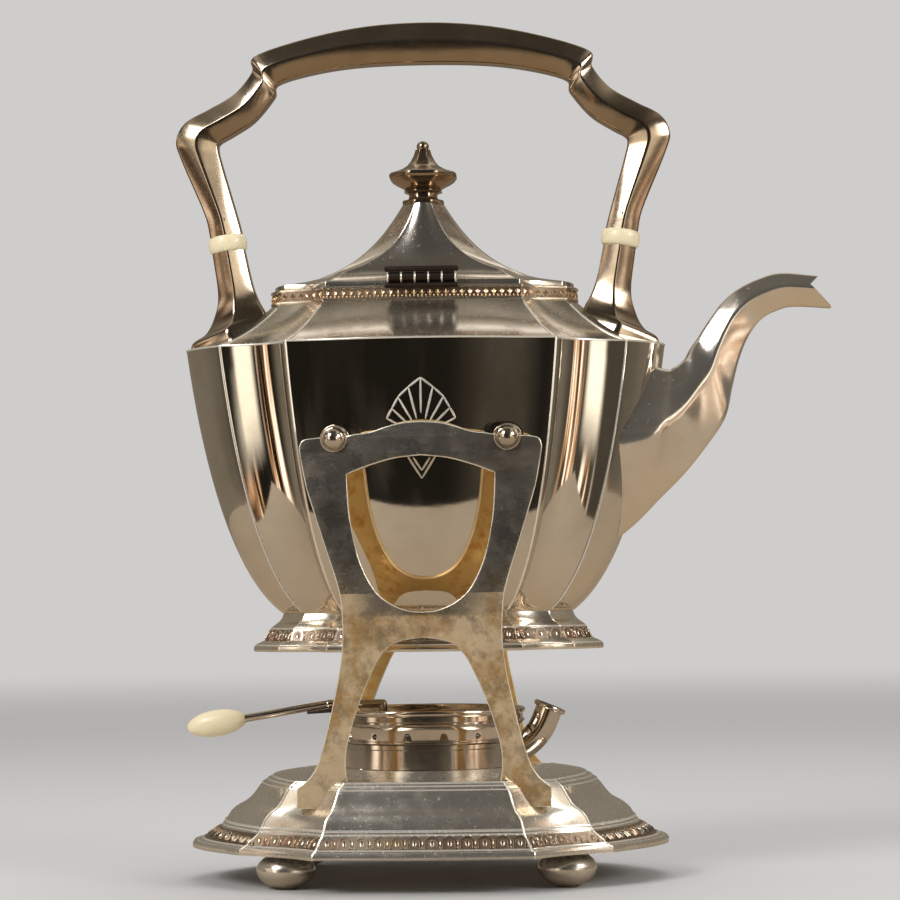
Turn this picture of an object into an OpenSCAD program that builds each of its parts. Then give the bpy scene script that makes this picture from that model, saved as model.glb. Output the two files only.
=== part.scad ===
// Tilting kettle on a stand with a spirit burner, in silver plate.
// Millimetres, +Z up. The origin is on the table under the middle of the stand,
// +X is the way the spout points and -Y is the side of the lid hinge.

/* [Kettle body] */
// Half length of the kettle at its top edge
body_l = 96; // [84:1:102]
// Half width of the kettle at its top edge
body_w = 49; // [42:0.5:50]
// Height of the sharp top edge above the table
edge_z = 210; // [204:1:218]
// Height of the neck where the body meets its foot
neck_z = 104.4; // [100:0.2:110]
// Size of the neck as a share of the top edge
neck_ratio = 0.602; // [0.5:0.01:0.68]
// Wall of the raised silver body
wall = 1.5; // [1:0.1:2.2]
// How far the corner panels are scooped, as a share of their distance from the middle
scoop = 0.16; // [0:0.02:0.24]

/* [Foot] */
// How far the foot spreads beyond the neck
foot_spread = 12; // [8:0.5:14]
// Height of the foot
foot_h = 14.8; // [12:0.2:17]

/* [Mouth and lid] */
// Half length of the mouth band
mouth_l = 61.2; // [56:0.5:63]
// Half width of the mouth band
mouth_w = 24; // [21:0.5:27]
// Rise of the shoulder from the top edge to the mouth band
shoulder_h = 17.5; // [14:0.5:20]
// Height of the mouth band
band_h = 5.5; // [4:0.5:7]
// Thickness of the mouth band
band_t = 3; // [2.4:0.1:3.6]
// Height of the lid from its seat to the finial collar
lid_h = 34.6; // [30:0.2:42]
// Thickness of the lid's rim
lid_rim_t = 1.9; // [1.4:0.1:2.4]
// How far the lid's bezel reaches down inside the mouth
bezel_h = 5; // [3:0.5:6]
// Diameter of the hinge barrel
barrel_d = 4.2; // [3.4:0.2:4.8]
// Length of the hinge
hinge_len = 26.6; // [20:0.5:32]

/* [Finial] */
// Widest radius of the finial
finial_r = 13.8; // [11:0.5:16]
// Height of the finial above its collar
finial_h = 26; // [22:0.5:30]

/* [Handle] */
// Height of the top of the grip above the kettle's top edge
grip_rise = 131.8; // [120:1:140]
// Half width of the grip's section, across the kettle
grip_w = 7; // [5:0.5:9]
// Half length of an insulator
insulator_l = 7.8; // [7.2:0.2:9]
// Thickness of an insulator
insulator_t = 6.6; // [5:0.2:8]
// Diameter of the handle pins
pin_d = 1.8; // [1.2:0.2:2.4]

/* [Studs] */
// Distance from the middle to each pair of studs
stud_x = 33; // [30:0.5:34]
// Height of the studs above the table
stud_z = 170.9; // [168:0.5:174]
// Radius of a stud
stud_r = 4.4; // [3.6:0.2:4.6]
// How far the round nose stands out of the frame
stud_nose = 4.4; // [3:0.2:6]

/* [Stand] */
// Half length of the stand's base
base_l = 94.6; // [90:1:100]
// Half width of the stand's base
base_w = 72; // [68:1:78]
// Half length of the base's flat top
top_l = 61.8; // [58:0.5:66]
// Half width of the base's flat top
top_w = 60; // [58:0.5:64]
// How far the base's corner panels are scooped
base_scoop = 0.06; // [0:0.01:0.1]
// Height of the flat top of the base
base_z = 41; // [39:0.5:44]
// Height of the base's lower edge
rim_z = 13.5; // [12:0.5:15]
// Wall of the base
base_wall = 1.8; // [1.4:0.1:2.4]
// Distance from the middle of the stand to the inner face of a frame
frame_y = 53; // [53:0.5:56]
// Thickness of a frame
frame_t = 3; // [2.4:0.2:3.6]
// Height of the top of a frame
frame_top = 177.2; // [175:0.5:180]
// Radius of a ball foot
ball_r = 11.3; // [9:0.2:12]

/* [Burner] */
// Radius of the burner's rim
rim_r = 38.2; // [36:0.2:39]
// Radius of the fuel reservoir
reservoir_r = 34.5; // [32:0.5:35]
// Height of the reservoir
reservoir_h = 12.3; // [10:0.5:13]
// Sheet thickness of the burner
burner_wall = 1.2; // [0.8:0.1:1.6]
// Number of vent holes
vents = 16; // [8:1:20]
// Diameter of a vent hole
vent_d = 2.4; // [1.8:0.2:3]
// Outer diameter of the filler tube
filler_d = 10.6; // [9:0.2:12]
// Diameter of the lever rod
rod_d = 3.4; // [2.4:0.2:3.8]

/* [Fits] */
// Gap between pieces that move past each other
gap = 0.3; // [0.25:0.05:0.4]
// Gap of a soldered or pressed joint
seam = 0.05; // [0.04:0.01:0.08]

/* [Hidden] */

silver = [0.78, 0.75, 0.71];
tarnish = [0.45, 0.41, 0.37];
gilt = [0.78, 0.66, 0.42];
ivory = [0.93, 0.88, 0.74];
cotton = [0.9, 0.88, 0.82];

// ---- Outlines seen from above ----
// An outline is [half length, half width, end corner, crease, scoop], with the two corners
// given as shares of the half length and half width.

edge_corner = [0.833, 0.49];
edge_crease = [0.545, 0.86];
mouth_corner = [0.925, 0.5];
mouth_crease = [0.64, 0.9];
base_corner = [0.755, 0.64];
base_crease = [0.44, 0.972];
top_corner = [0.786, 0.80];
top_crease = [0.487, 0.98];
dome_corner = [0.95, 0.5];
dome_crease = [0.8, 0.92];

// Steps along the end panel, the corner panel and half of the front panel
end_steps = 3;
corner_steps = 4;
front_steps = 4;

function mix(a, b, t) = a * (1 - t) + b * t;
function bez2(a, b, c, t) = mix(mix(a, b, t), mix(b, c, t), t);
function bez3(a, b, c, d, t) = mix(bez2(a, b, c, t), bez2(b, c, d, t), t);
function reversed(v) = [for (i = [len(v) - 1:-1:0]) v[i]];

// One quarter of an outline, from the middle of the end to the middle of the front
function quarter(o) =
    let (
        l = o[0],
        w = o[1],
        corner = [l * o[2][0], w * o[2][1]],
        crease = [l * o[3][0], w * o[3][1]],
        hollow = (corner + crease) / 2 * (1 - o[4])
    )
    concat(
        [for (i = [0:end_steps - 1])
            bez3([l, 0], [l, corner[1] * 0.45], [mix(corner[0], l, 0.3), corner[1] * 0.8],
                corner, i / end_steps)],
        [for (i = [0:corner_steps - 1]) bez2(corner, hollow, crease, i / corner_steps)],
        [for (i = [0:front_steps - 1])
            bez3(crease, [crease[0] * 0.7, crease[1]], [crease[0] * 0.5, w], [0, w],
                i / front_steps)]
    );

// The whole outline at height z, anticlockwise seen from above
function ring(o, z) =
    let (q = quarter(o), n = len(q))
    concat(
        [for (p = q) [p[0], p[1], z]],
        [[0, o[1], z]],
        [for (i = [n - 1:-1:1]) [-q[i][0], q[i][1], z]],
        [for (i = [0:n - 1]) [-q[i][0], -q[i][1], z]],
        [[0, -o[1], z]],
        [for (i = [n - 1:-1:1]) [q[i][0], -q[i][1], z]]
    );

function inset(o, d) = [o[0] - d, o[1] - d, o[2], o[3], o[4]];
function scaled(o, s) = [o[0] * s, o[1] * s, o[2], o[3], o[4]];
function blend(a, b, t) = [for (i = [0:4]) mix(a[i], b[i], t)];

// A solid through rings of equal length. The rings turn anticlockwise seen from the end of
// the path. A loop of rings closes on itself and has no end caps.
module loft(rings, loop = false) {
    n = len(rings[0]);
    m = len(rings);
    strips = loop ? m : m - 1;
    points = [for (r = rings) for (p = r) p];
    sides = [
        for (i = [0:strips - 1], j = [0:n - 1])
            let (k = (i + 1) % m, h = (j + 1) % n)
            each [
                [i * n + j, k * n + j, k * n + h],
                [i * n + j, k * n + h, i * n + h]
            ]
    ];
    caps = loop ? [] : [[for (j = [0:n - 1]) j], [for (j = [n - 1:-1:0]) (m - 1) * n + j]];
    polyhedron(points, concat(sides, caps), convexity = 8);
}

// ---- Kettle body ----

edge_outline = [body_l, body_w, edge_corner, edge_crease, scoop];
mouth_outline = [mouth_l, mouth_w, mouth_corner, mouth_crease, scoop * 0.6];
neck_outline = scaled(edge_outline, neck_ratio);
body_steps = 8;
body_h = edge_z - neck_z;

// Height and size of the body along its side, t from the neck to the top edge
function body_z(t) = bez3(neck_z, neck_z + body_h * 0.13, edge_z - body_h * 0.47, edge_z, t);
function body_s(t) = bez3(neck_ratio, mix(neck_ratio, 1, 0.5), mix(neck_ratio, 1, 0.825), 1, t);

function body_rings(d) =
    [for (i = [0:body_steps])
        let (t = i / body_steps)
        ring(inset(scaled(edge_outline, body_s(t)), d), body_z(t))];

// A stretch of the body's outer form, grown by d, that other pieces are cut to fit
module body_form(d, from = 0, to = body_steps) {
    rings = body_rings(-d);
    loft([for (i = [from:to]) rings[i]]);
}

spout_holes = [4, 3];
spout_hole_d = 3.4;
spout_hole_pitch = 8;
spout_root_z = 168;

module kettle_body() {
    inner = body_rings(wall);
    color(silver)
    difference() {
        loft(concat(
            body_rings(0),
            reversed([for (i = [1:body_steps]) inner[i]]),
            [ring(inset(neck_outline, wall * 2), neck_z + wall)]
        ));
        for (row = [0:spout_holes[0] - 1], col = [0:spout_holes[1] - 1])
            translate([
                body_l * 0.6,
                (col - (spout_holes[1] - 1) / 2) * spout_hole_pitch,
                spout_root_z + (row - (spout_holes[0] - 1) / 2) * spout_hole_pitch
            ])
            rotate([0, 90, 0])
            cylinder(d = spout_hole_d, h = body_l * 0.5, $fn = 8);
    }
}

// ---- Foot of the kettle ----

foot_bottom = neck_z - foot_h;
foot_rim_t = 2.4;
foot_wall = 1.6;
// Steps of the foot: how far out, as a share of the spread, and how far down, as a share
// of the height
foot_profile = [[0, 0], [0.14, 0.2], [0.4, 0.36], [0.62, 0.7], [0.96, 0.84], [1, 1]];

function foot_ring(p, d) =
    ring(inset(neck_outline, d - foot_spread * p[0]), neck_z - foot_h * p[1] - seam);

module kettle_foot() {
    color(silver)
    loft(concat(
        [for (p = reversed(foot_profile)) foot_ring(p, 0)],
        [for (p = foot_profile) foot_ring(p, p[1] == 1 ? foot_wall + 1 : foot_wall)]
    ), loop = true);
}

// ---- Shoulder and mouth ----

band_z = edge_z + shoulder_h;
mouth_z = band_z + band_h;
shoulder_wall = 1.4;
shoulder_steps = 4;

function shoulder_ring(t, d) =
    ring(
        inset(blend(edge_outline, mouth_outline, t), d),
        edge_z + seam + (shoulder_h - seam * 2) * bez3(0, 0.14, 0.42, 1, t)
            - (t == 0 || t == 1 ? 0 : d * 0.8)
    );

module kettle_shoulder() {
    steps = [for (i = [0:shoulder_steps]) i / shoulder_steps];
    color(silver)
    loft(concat(
        [for (t = steps) shoulder_ring(t, 0)],
        [for (t = reversed(steps)) shoulder_ring(t, shoulder_wall)]
    ), loop = true);
}

// The space under the shoulder's outer face, that the handle sockets are cut to fit
module shoulder_form(d) {
    loft([for (i = [0:shoulder_steps])
        let (r = shoulder_ring(i / shoulder_steps, -d))
        [for (p = r) p + [0, 0, i == 0 || i == shoulder_steps ? d : 0]]]);
}

fillet = 0.6;
// Moulded outer face of the band: how far out and how high
band_profile = [
    [fillet, 0], [fillet, 0.16], [0, 0.22], [0, 0.78], [fillet, 0.84], [fillet, 1]
];

module mouth_band() {
    color(silver)
    loft(concat(
        [for (p = band_profile) ring(inset(mouth_outline, -p[0]), band_z + band_h * p[1])],
        [for (z = [mouth_z, band_z]) ring(inset(mouth_outline, band_t), z)]
    ), loop = true);
}

// ---- Sections of the spout and handle ----

// A six-sided ring with a crease along each side. Its top is at u and its bottom at l, both
// [x, z]. The crease lies at a share of the way down, and the bottom is a share of the top's
// width, which is half of w.
function ridged(u, l, w, down = 0.5, keel = 1) =
    let (m = mix(u, l, down))
    [
        [u[0], -w * 0.5, u[1]], [m[0], -w, m[1]], [l[0], -w * 0.5 * keel, l[1]],
        [l[0], w * 0.5 * keel, l[1]], [m[0], w, m[1]], [u[0], w * 0.5, u[1]]
    ];

// ---- Spout ----

spout_wall = 1.3;
// Where the creases lie, as a share of the way down, and the keel's share of the top's width
spout_crease = 0.42;
spout_keel = 0.7;
// Upper line, lower line and half width of the spout, from inside the body to the lip.
// X is taken from the body's end and Z from its top edge.
spout_path = [
    [[-16.5, -5], [-28.6, -83.7], 21],
    [[-0.6, -10.2], [-13.5, -72], 19.5],
    [[3.4, -9.3], [-3.4, -62], 17],
    [[7.4, -6.3], [6.7, -52], 14.5],
    [[10.1, -1.6], [15.8, -41], 12.3],
    [[13, 2.4], [23.5, -29.6], 10.4],
    [[15.8, 6.8], [26.6, -17.2], 9.2],
    [[19, 11.3], [29.5, -6.2], 8.4],
    [[23.1, 16.5], [33.5, 3.1], 7.7],
    [[29.4, 21.8], [39.2, 10.2], 7.1],
    [[37.9, 25.9], [45.4, 13.4], 6.6],
    [[46.9, 28], [51.8, 14.8], 6.2],
    [[61.9, 26.6], [66.5, 13.9], 5.8]
];
spout_at = [body_l, edge_z];

function spout_rings(d) =
    [for (s = spout_path)
        let (u = spout_at + s[0], l = spout_at + s[1], k = d / norm(u - l))
        ridged(mix(u, l, k), mix(l, u, k), s[2] - d, spout_crease, spout_keel)];

// The lip's notch: a wedge with its edge across the mouth
module lip_notch() {
    translate([spout_at[0] + 58, 0, spout_at[1] + 23.1])
    rotate([90, 0, 0])
    linear_extrude(height = 20, center = true)
    polygon([[0, 0], [12, 12], [20, 3], [12, -12]]);
}

module spout() {
    rings = spout_rings(spout_wall);
    last = len(rings) - 1;
    along = rings[last][0] - rings[last - 1][0];
    color(silver)
    difference() {
        loft(spout_rings(0));
        loft(concat(
            [[for (p = rings[0]) p - [12, 0, 0]]],
            [for (i = [1:last]) rings[i]],
            [[for (p = rings[last]) p + along]]
        ));
        body_form(seam, 2);
        lip_notch();
    }
}

// ---- Studs ----

boss_r = 6.4;
boss_y = frame_y - 6.2;
stud_clear = gap;

module front_and_back() {
    children();
    mirror([0, 1, 0]) children();
}

module at_stud(side, y) {
    translate([side * stud_x, -y, stud_z]) rotate([90, 0, 0]) children();
}

module stud_bosses() {
    color(silver)
    difference() {
        for (side = [-1, 1])
            front_and_back()
            at_stud(side, boss_y - 12) cylinder(r = boss_r, h = 12, $fn = 40);
        body_form(seam, 4, 7);
    }
}

// A stud from y0 outwards: a collar, a neck through the frame and a round nose
module stud(side, y0) {
    reach = frame_y + frame_t - y0;
    front_and_back()
    at_stud(side, y0)
    rotate_extrude($fn = 48)
    polygon(concat(
        [[0, 0], [boss_r - 0.6, 0], [boss_r - 0.6, 1.6], [stud_r, 2.6], [stud_r, reach]],
        [for (a = [15:15:75]) [stud_r * cos(a), reach + stud_nose * sin(a)]],
        [[0, reach + stud_nose]]
    ));
}

module rest_studs() {
    color(silver) stud(-1, boss_y + seam);
}

module pivot_studs() {
    color(silver) stud(1, boss_y + gap);
}

// ---- Handle ----

// Outer and inner line of the grip from the middle of the top to the right insulator,
// with X from the middle of the kettle and Z down from the top of the grip
grip_path = [
    [[0, 0], [0, -16.4]],
    [[33, -2.8], [32, -17.8]],
    [[66, -11.8], [56.8, -23.2]],
    [[68.6, -19.2], [59.6, -29]],
    [[75.6, -27.8], [67.6, -38.6]],
    [[86.2, -34], [76.4, -44.4]],
    [[95.6, -39.2], [81.6, -47.4]],
    [[99.4, -46.4], [82.4, -50]],
    [[97.4, -54.4], [81, -56.2]],
    [[88.2, -76.4], [75.4, -75.8]],
    [[85.9, -86.2], [73.1, -84.4]]
];
grip_top = edge_z + grip_rise;
function at_grip(p) = [p[0], grip_top + p[1]];

// The leg's middle and lean at the insulator
leg_end = grip_path[len(grip_path) - 1];
leg_mid = at_grip((leg_end[0] + leg_end[1]) / 2);
leg_half = norm(leg_end[0] - leg_end[1]) / 2;
leg_lean = atan2(leg_end[0][1] - leg_end[1][1], leg_end[0][0] - leg_end[1][0]);
tenon = [7, 6, 10];
pin_off = 6;

module right_and_left(side) {
    mirror([side < 0 ? 1 : 0, 0, 0]) children();
}

// Places its children at the top of the insulator, with Z along the leg
module at_insulator(side) {
    right_and_left(side)
    translate([leg_mid[0], 0, leg_mid[1]])
    rotate([0, -leg_lean, 0])
    children();
}

module tenon_pocket(side) {
    at_insulator(side)
    translate([0, 0, -insulator_t / 2 - seam])
    cube(tenon + [seam * 4, seam * 4, tenon[2] + insulator_t + seam * 4], center = true);
}

module pin_hole(side) {
    for (z = [pin_off, -insulator_t - pin_off])
        at_insulator(side)
        translate([0, 0, z])
        rotate([90, 0, 0])
        cylinder(d = pin_d + seam * 2, h = grip_w * 3, center = true, $fn = 24);
}

module handle_grip() {
    right = [for (s = grip_path) ridged(at_grip(s[0]), at_grip(s[1]), grip_w)];
    left = [
        for (i = [len(grip_path) - 1:-1:1])
            let (s = grip_path[i], u = at_grip(s[0]), l = at_grip(s[1]))
            ridged([-u[0], u[1]], [-l[0], l[1]], grip_w)
    ];
    color(silver)
    difference() {
        loft(concat(left, right));
        for (side = [-1, 1]) {
            tenon_pocket(side);
            pin_hole(side);
        }
    }
}

module insulator(side) {
    color(ivory)
    difference() {
        union() {
            at_insulator(side)
            translate([0, 0, -insulator_t - seam])
            scale([1, (grip_w + 0.8) / insulator_l, 1])
            rotate_extrude($fn = 48)
            polygon([
                [0, 0], [insulator_l - 1.6, 0], [insulator_l - 0.5, 0.6], [insulator_l, 2],
                [insulator_l, insulator_t - 2], [insulator_l - 0.5, insulator_t - 0.6],
                [insulator_l - 1.6, insulator_t], [0, insulator_t]
            ]);
            at_insulator(side)
            translate([0, 0, -insulator_t / 2 - seam])
            cube([tenon[0], tenon[1], tenon[2] * 2 + insulator_t], center = true);
        }
        pin_hole(side);
    }
}

module insulator_left() {
    insulator(-1);
}

module insulator_right() {
    insulator(1);
}

module handle_pins() {
    color(silver)
    for (side = [-1, 1], z = [pin_off, -insulator_t - pin_off])
        at_insulator(side)
        translate([0, 0, z])
        rotate([90, 0, 0])
        cylinder(d = pin_d, h = grip_w * 2 - 1, center = true, $fn = 24);
}

// Outer line, inner line and half width of a socket, from the shoulder to the insulator
socket_path = [
    [[93.5, -4], [56, 6], 15],
    [[93, 2.4], [62.6, 12.6], 14],
    [[87.8, 6.4], [64.4, 16.2], 11],
    [[84.6, 12.6], [67, 21], 8.6],
    [[82.8, 22], [69.4, 28], 7.4]
];

module handle_socket(side) {
    drop = (insulator_t + seam * 2) * [sin(leg_lean), -cos(leg_lean)];
    top = [for (p = leg_end) at_grip(p) + drop];
    rings = concat(
        [for (s = socket_path)
            ridged([s[0][0], edge_z + s[0][1]], [s[1][0], edge_z + s[1][1]], s[2])],
        [ridged(top[0], top[1], grip_w)]
    );
    color(silver)
    difference() {
        right_and_left(side) loft([for (r = rings) reversed(r)]);
        shoulder_form(seam);
        translate([0, 0, edge_z - 20]) cube([body_l * 3, body_w * 2, 41], center = true);
        tenon_pocket(side);
        pin_hole(side);
    }
}

module handle_socket_left() {
    handle_socket(-1);
}

module handle_socket_right() {
    handle_socket(1);
}

// ---- Lid ----

lid_z = mouth_z + gap;
lid_outline = inset(mouth_outline, 1.2);
collar_r = 8.4;
lid_wall = 1.2;
lid_top = lid_z + lid_h;
dome_outline = [mouth_l * 0.635, mouth_w * 0.66, dome_corner, dome_crease, scoop * 0.4];
tip_outline = [collar_r, collar_r, [0.92, 0.38], [0.38, 0.92], 0];
finial_screw_d = 4;

// The lid's outer form: a flat rim that curves up into the bell-shaped dome
lid_curve = [
    [0, 0], [0, lid_rim_t], [0.5, lid_rim_t + 1.4], [1, lid_rim_t + 4.6]
];
dome_steps = 6;

function dome_ring(t, d) =
    ring(
        inset(blend(dome_outline, tip_outline, bez3(0, 0.45, 0.72, 1, t)), d),
        mix(lid_z + lid_curve[3][1], lid_top, bez3(0, 0.2, 0.5, 1, t)) - d * 0.7
    );

function lid_rings(d) =
    concat(
        [for (i = [1:2])
            ring(inset(blend(lid_outline, dome_outline, lid_curve[i][0]), d),
                lid_z + lid_curve[i][1] - d * 0.7)],
        [for (i = [0:dome_steps]) dome_ring(i / dome_steps, d)]
    );

barrel_z = lid_z + barrel_d / 2 + 0.5;
hinge_y = mouth_w + barrel_d / 2 - 0.4;
knuckles = 5;
knuckle_len = hinge_len / knuckles;

module along_hinge(from, to, d) {
    translate([from, -hinge_y, barrel_z]) rotate([0, 90, 0]) cylinder(d = d, h = to - from, $fn = 40);
}

module lid_dome() {
    inner = lid_rings(lid_wall);
    color(silver)
    difference() {
        loft(concat(
            [ring(lid_outline, lid_z)],
            lid_rings(0),
            reversed(inner),
            [ring(inset(lid_outline, lid_wall * 3), lid_z)]
        ), loop = true);
        translate([0, 0, lid_top - 12]) cylinder(d = finial_screw_d + seam * 2, h = 20, $fn = 32);
        translate([-hinge_len / 2 - gap, -hinge_y - 6, lid_z - 1])
            cube([hinge_len + gap * 2, 6 + leaf_in, 20]);
    }
}

module lid_bezel() {
    outer = inset(mouth_outline, band_t + 1.2);
    color(silver)
    loft([
        ring(outer, lid_z - bezel_h), ring(outer, lid_z - seam),
        ring(inset(outer, lid_wall), lid_z - seam), ring(inset(outer, lid_wall), lid_z - bezel_h)
    ], loop = true);
}

module knuckle_row(first) {
    for (i = [first:2:knuckles - 1])
        along_hinge(
            -hinge_len / 2 + i * knuckle_len + gap / 2,
            -hinge_len / 2 + (i + 1) * knuckle_len - gap / 2,
            barrel_d
        );
}

module hinge_leaf() {
    color(silver)
    difference() {
        union() {
            knuckle_row(0);
            for (i = [0:2:knuckles - 1])
                translate([-hinge_len / 2 + i * knuckle_len + gap / 2, -hinge_y, mouth_z + seam])
                cube([knuckle_len - gap, barrel_d / 2, barrel_z - mouth_z - seam]);
        }
        along_hinge(-hinge_len, hinge_len, pin_d - 0.2 + seam * 2);
    }
}

module hinge_pin() {
    color(silver)
    along_hinge(-hinge_len / 2 - 0.6, hinge_len / 2 + 0.6, pin_d - 0.2);
}

// How far the lid's leaf reaches in from the hinge axis
leaf_in = 6;

module lid_hinge_leaf() {
    face = barrel_d / 2 + gap;
    color(silver)
    difference() {
        union() {
            knuckle_row(1);
            for (i = [1:2:knuckles - 1])
                translate([-hinge_len / 2 + i * knuckle_len + gap / 2, -hinge_y, barrel_z - 0.6])
                cube([knuckle_len - gap, face + 0.5, 1.2]);
            translate([-hinge_len / 2, -hinge_y + face, lid_z])
                cube([hinge_len, leaf_in - face - seam, barrel_z + 0.6 - lid_z]);
        }
        along_hinge(-hinge_len, hinge_len, pin_d - 0.2 + seam * 2);
    }
}

// ---- Finial ----

finial_turn = 22.5;
// Silhouette of the urn finial: radius as a share of the widest, height as a share of the
// finial's own
finial_profile = [
    [0.6, 0], [0.6, 0.05], [0.42, 0.08], [0.42, 0.18], [0.56, 0.2], [0.52, 0.24],
    [0.82, 0.34], [1, 0.45], [1, 0.48], [0.55, 0.57], [0.36, 0.68], [0.22, 0.86]
];

function polygon_ring(r, z, n) =
    [for (i = [0:n - 1]) let (a = 180 / n + 360 * i / n) [r * cos(a), r * sin(a), z]];

module lid_finial() {
    color(silver) {
        translate([0, 0, lid_top + seam]) {
            loft([for (p = finial_profile) polygon_ring(finial_r * p[0], finial_h * p[1], 8)]);
            translate([0, 0, finial_h * 0.86])
            rotate_extrude($fn = 32)
            polygon([[0, -1], [2.2, -1], [2.5, 0.6], [2.5, 2.4], [1.6, 3.6], [0, 3.7]]);
            translate([0, 0, -8]) cylinder(d = finial_screw_d, h = 9, $fn = 32);
        }
    }
}

module finial_nut() {
    color(silver)
    translate([0, 0, lid_top - 5.6])
    difference() {
        cylinder(r = 4.4, h = 2.4, $fn = 6);
        translate([0, 0, -1]) cylinder(d = finial_screw_d + seam * 2, h = 5, $fn = 32);
    }
}

// ---- Stand ----

base_outline = [base_l, base_w, base_corner, base_crease, base_scoop];
top_outline = [top_l, top_w, top_corner, top_crease, base_scoop];
// Steps of the base: share of the way in and share of the way up
base_profile = [
    [0, 0], [0, 0.05], [0.14, 0.13], [0.36, 0.3], [0.42, 0.4], [0.53, 0.55],
    [0.64, 0.62], [0.76, 0.75], [0.88, 0.92], [1, 1]
];

function base_ring(p, d) =
    ring(inset(blend(base_outline, top_outline, p[0]), d),
        mix(rim_z, base_z, p[1]) - (p[1] == 0 ? 0 : d));

// The top of the base as a solid, grown by d, that other pieces are cut to fit
form_from = 4;
form_z = mix(rim_z, base_z, base_profile[form_from][1]);

module base_form(d) {
    loft([for (i = [form_from:len(base_profile) - 1]) base_ring(base_profile[i], -d)]);
}

module stand_base() {
    color(silver)
    loft(concat(
        [for (p = reversed(base_profile)) base_ring(p, base_wall)],
        [for (p = base_profile) base_ring(p, 0)]
    ));
}

ball_x = 53.7;
ball_y = 42;
ball_h = 14;
stem_r = 3;

module each_corner(x, y) {
    for (sx = [-1, 1], sy = [-1, 1])
        translate([sx * x, sy * y, 0]) children();
}

module ball_feet() {
    color(silver)
    difference() {
        each_corner(ball_x, ball_y) {
            rotate_extrude($fn = 48)
            polygon(concat(
                [[0, 0], [ball_r * 0.35, 0]],
                [for (a = [-60:15:60]) [ball_r * cos(a), ball_h / 2 * (1 + sin(a))]],
                [[0, ball_h]]
            ));
            cylinder(r = stem_r, h = base_z, $fn = 24);
        }
        difference() {
            translate([-base_l, -base_w, form_z]) cube([base_l * 2, base_w * 2, base_z]);
            base_form(-base_wall - seam);
        }
    }
}

// ---- Frames ----

notch_r = stud_r + stud_clear;
// Right half of the frame's outline, from the middle of the top down to the foot
frame_half = [
    [0, 0], [7, -0.5], [13, -1.9], [19, -3.9], [25.2, -4.7],
    [40, -5.9], [44.6, -6.6], [46.1, -9.2], [45.9, -12.1], [43.6, -24.7], [38.4, -41.5],
    [32.4, -60.8], [30.6, -70.6], [30.5, -87.2], [34.2, -107.2], [38.8, -125.5],
    [42.6, -133.6], [48, -138.5], [48, -146]
];
arch_half = [
    [27, -146], [29.6, -128], [26, -112], [20.6, -98], [15.6, -88.4], [10, -83.8], [0, -81.9]
];
window_half = [
    [0, -12.9], [10, -14], [20, -16.8], [28.1, -19.9], [27, -36.4], [24, -51], [18.8, -62.6],
    [13, -68.4], [6, -71.6], [0, -72.3]
];

function mirrored(v) = [for (i = [len(v) - 1:-1:0]) if (v[i][0] > 0) [-v[i][0], v[i][1]]];

module frame_shape() {
    difference() {
        polygon(concat(frame_half, arch_half, mirrored(arch_half), mirrored(frame_half)));
        polygon(concat(window_half, mirrored(window_half)));
        for (side = [-1, 1])
            translate([side * stud_x, stud_z - frame_top]) {
                circle(r = notch_r, $fn = 48);
                translate([-notch_r, 0]) square([notch_r * 2, 20]);
            }
    }
}

module frame_plate() {
    difference() {
        translate([0, -frame_y, frame_top])
        rotate([90, 0, 0])
        linear_extrude(height = frame_t)
        frame_shape();
        base_form(seam);
        translate([-base_l, -base_w, 0]) cube([base_l * 2, base_w * 2, form_z]);
    }
}

module front_frame() {
    color(tarnish) frame_plate();
}

module back_frame() {
    color(tarnish) mirror([0, 1, 0]) frame_plate();
}

// ---- Burner ----

seat_h = 2.6;
seat_r = reservoir_r + gap;

module burner_seat() {
    color(silver)
    translate([0, 0, base_z + seam])
    difference() {
        cylinder(r = seat_r + 2.4, h = seat_h, $fn = 96);
        translate([0, 0, -1]) cylinder(r = seat_r, h = seat_h + 2, $fn = 96);
    }
}

burner_z = base_z + gap;
chimney_z = burner_z + reservoir_h;
chimney_h = 6.6;
ring_z = chimney_z + chimney_h;
ring_h = 6;
ring_t = 1.4;
filler_r = filler_d / 2;
filler_to = [48.4, burner_z + 25.8];
filler_lean = 22.5;

module burner_reservoir() {
    color(silver)
    translate([0, 0, burner_z])
    difference() {
        cylinder(r = reservoir_r, h = reservoir_h, $fn = 96);
        translate([0, 0, burner_wall])
            cylinder(r = reservoir_r - burner_wall, h = reservoir_h - burner_wall * 2, $fn = 96);
        cylinder(r = wick_r + burner_wall + seam, h = reservoir_h * 3, center = true, $fn = 48);
    }
}

// The pierced drum over the reservoir
module burner_chimney() {
    r = rim_r - 2;
    color(silver)
    difference() {
        translate([0, 0, chimney_z + seam])
        rotate_extrude($fn = 96)
        polygon([
            [r - burner_wall, 0], [r, 0], [r, chimney_h * 0.8], [r + 0.6, chimney_h],
            [r - burner_wall, chimney_h]
        ]);
        for (i = [0:vents - 1])
            rotate([0, 0, 360 * (i + 0.5) / vents])
            translate([r - 4, 0, chimney_z + chimney_h * 0.45])
            rotate([0, 90, 0])
            cylinder(d = vent_d, h = 8, $fn = 24);
    }
}

// The filler tube leaves the reservoir at one slope and bends up to the lean of its mouth
filler_slope = 64;
filler_bend = 20;
filler_straight = 7;

// Solid round bar along the filler's path, drawn from the mouth downwards
module filler_path(r, extend) {
    translate([filler_to[0], 0, filler_to[1]])
    rotate([0, filler_lean, 0]) {
        translate([0, 0, -filler_straight])
            cylinder(r = r, h = filler_straight + extend, $fn = 40);
        translate([-filler_bend, 0, -filler_straight])
        rotate([-90, 0, 0])
        rotate_extrude(angle = filler_slope, $fn = 64)
        translate([filler_bend, 0])
        circle(r = r, $fn = 40);
    }
}

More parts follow.
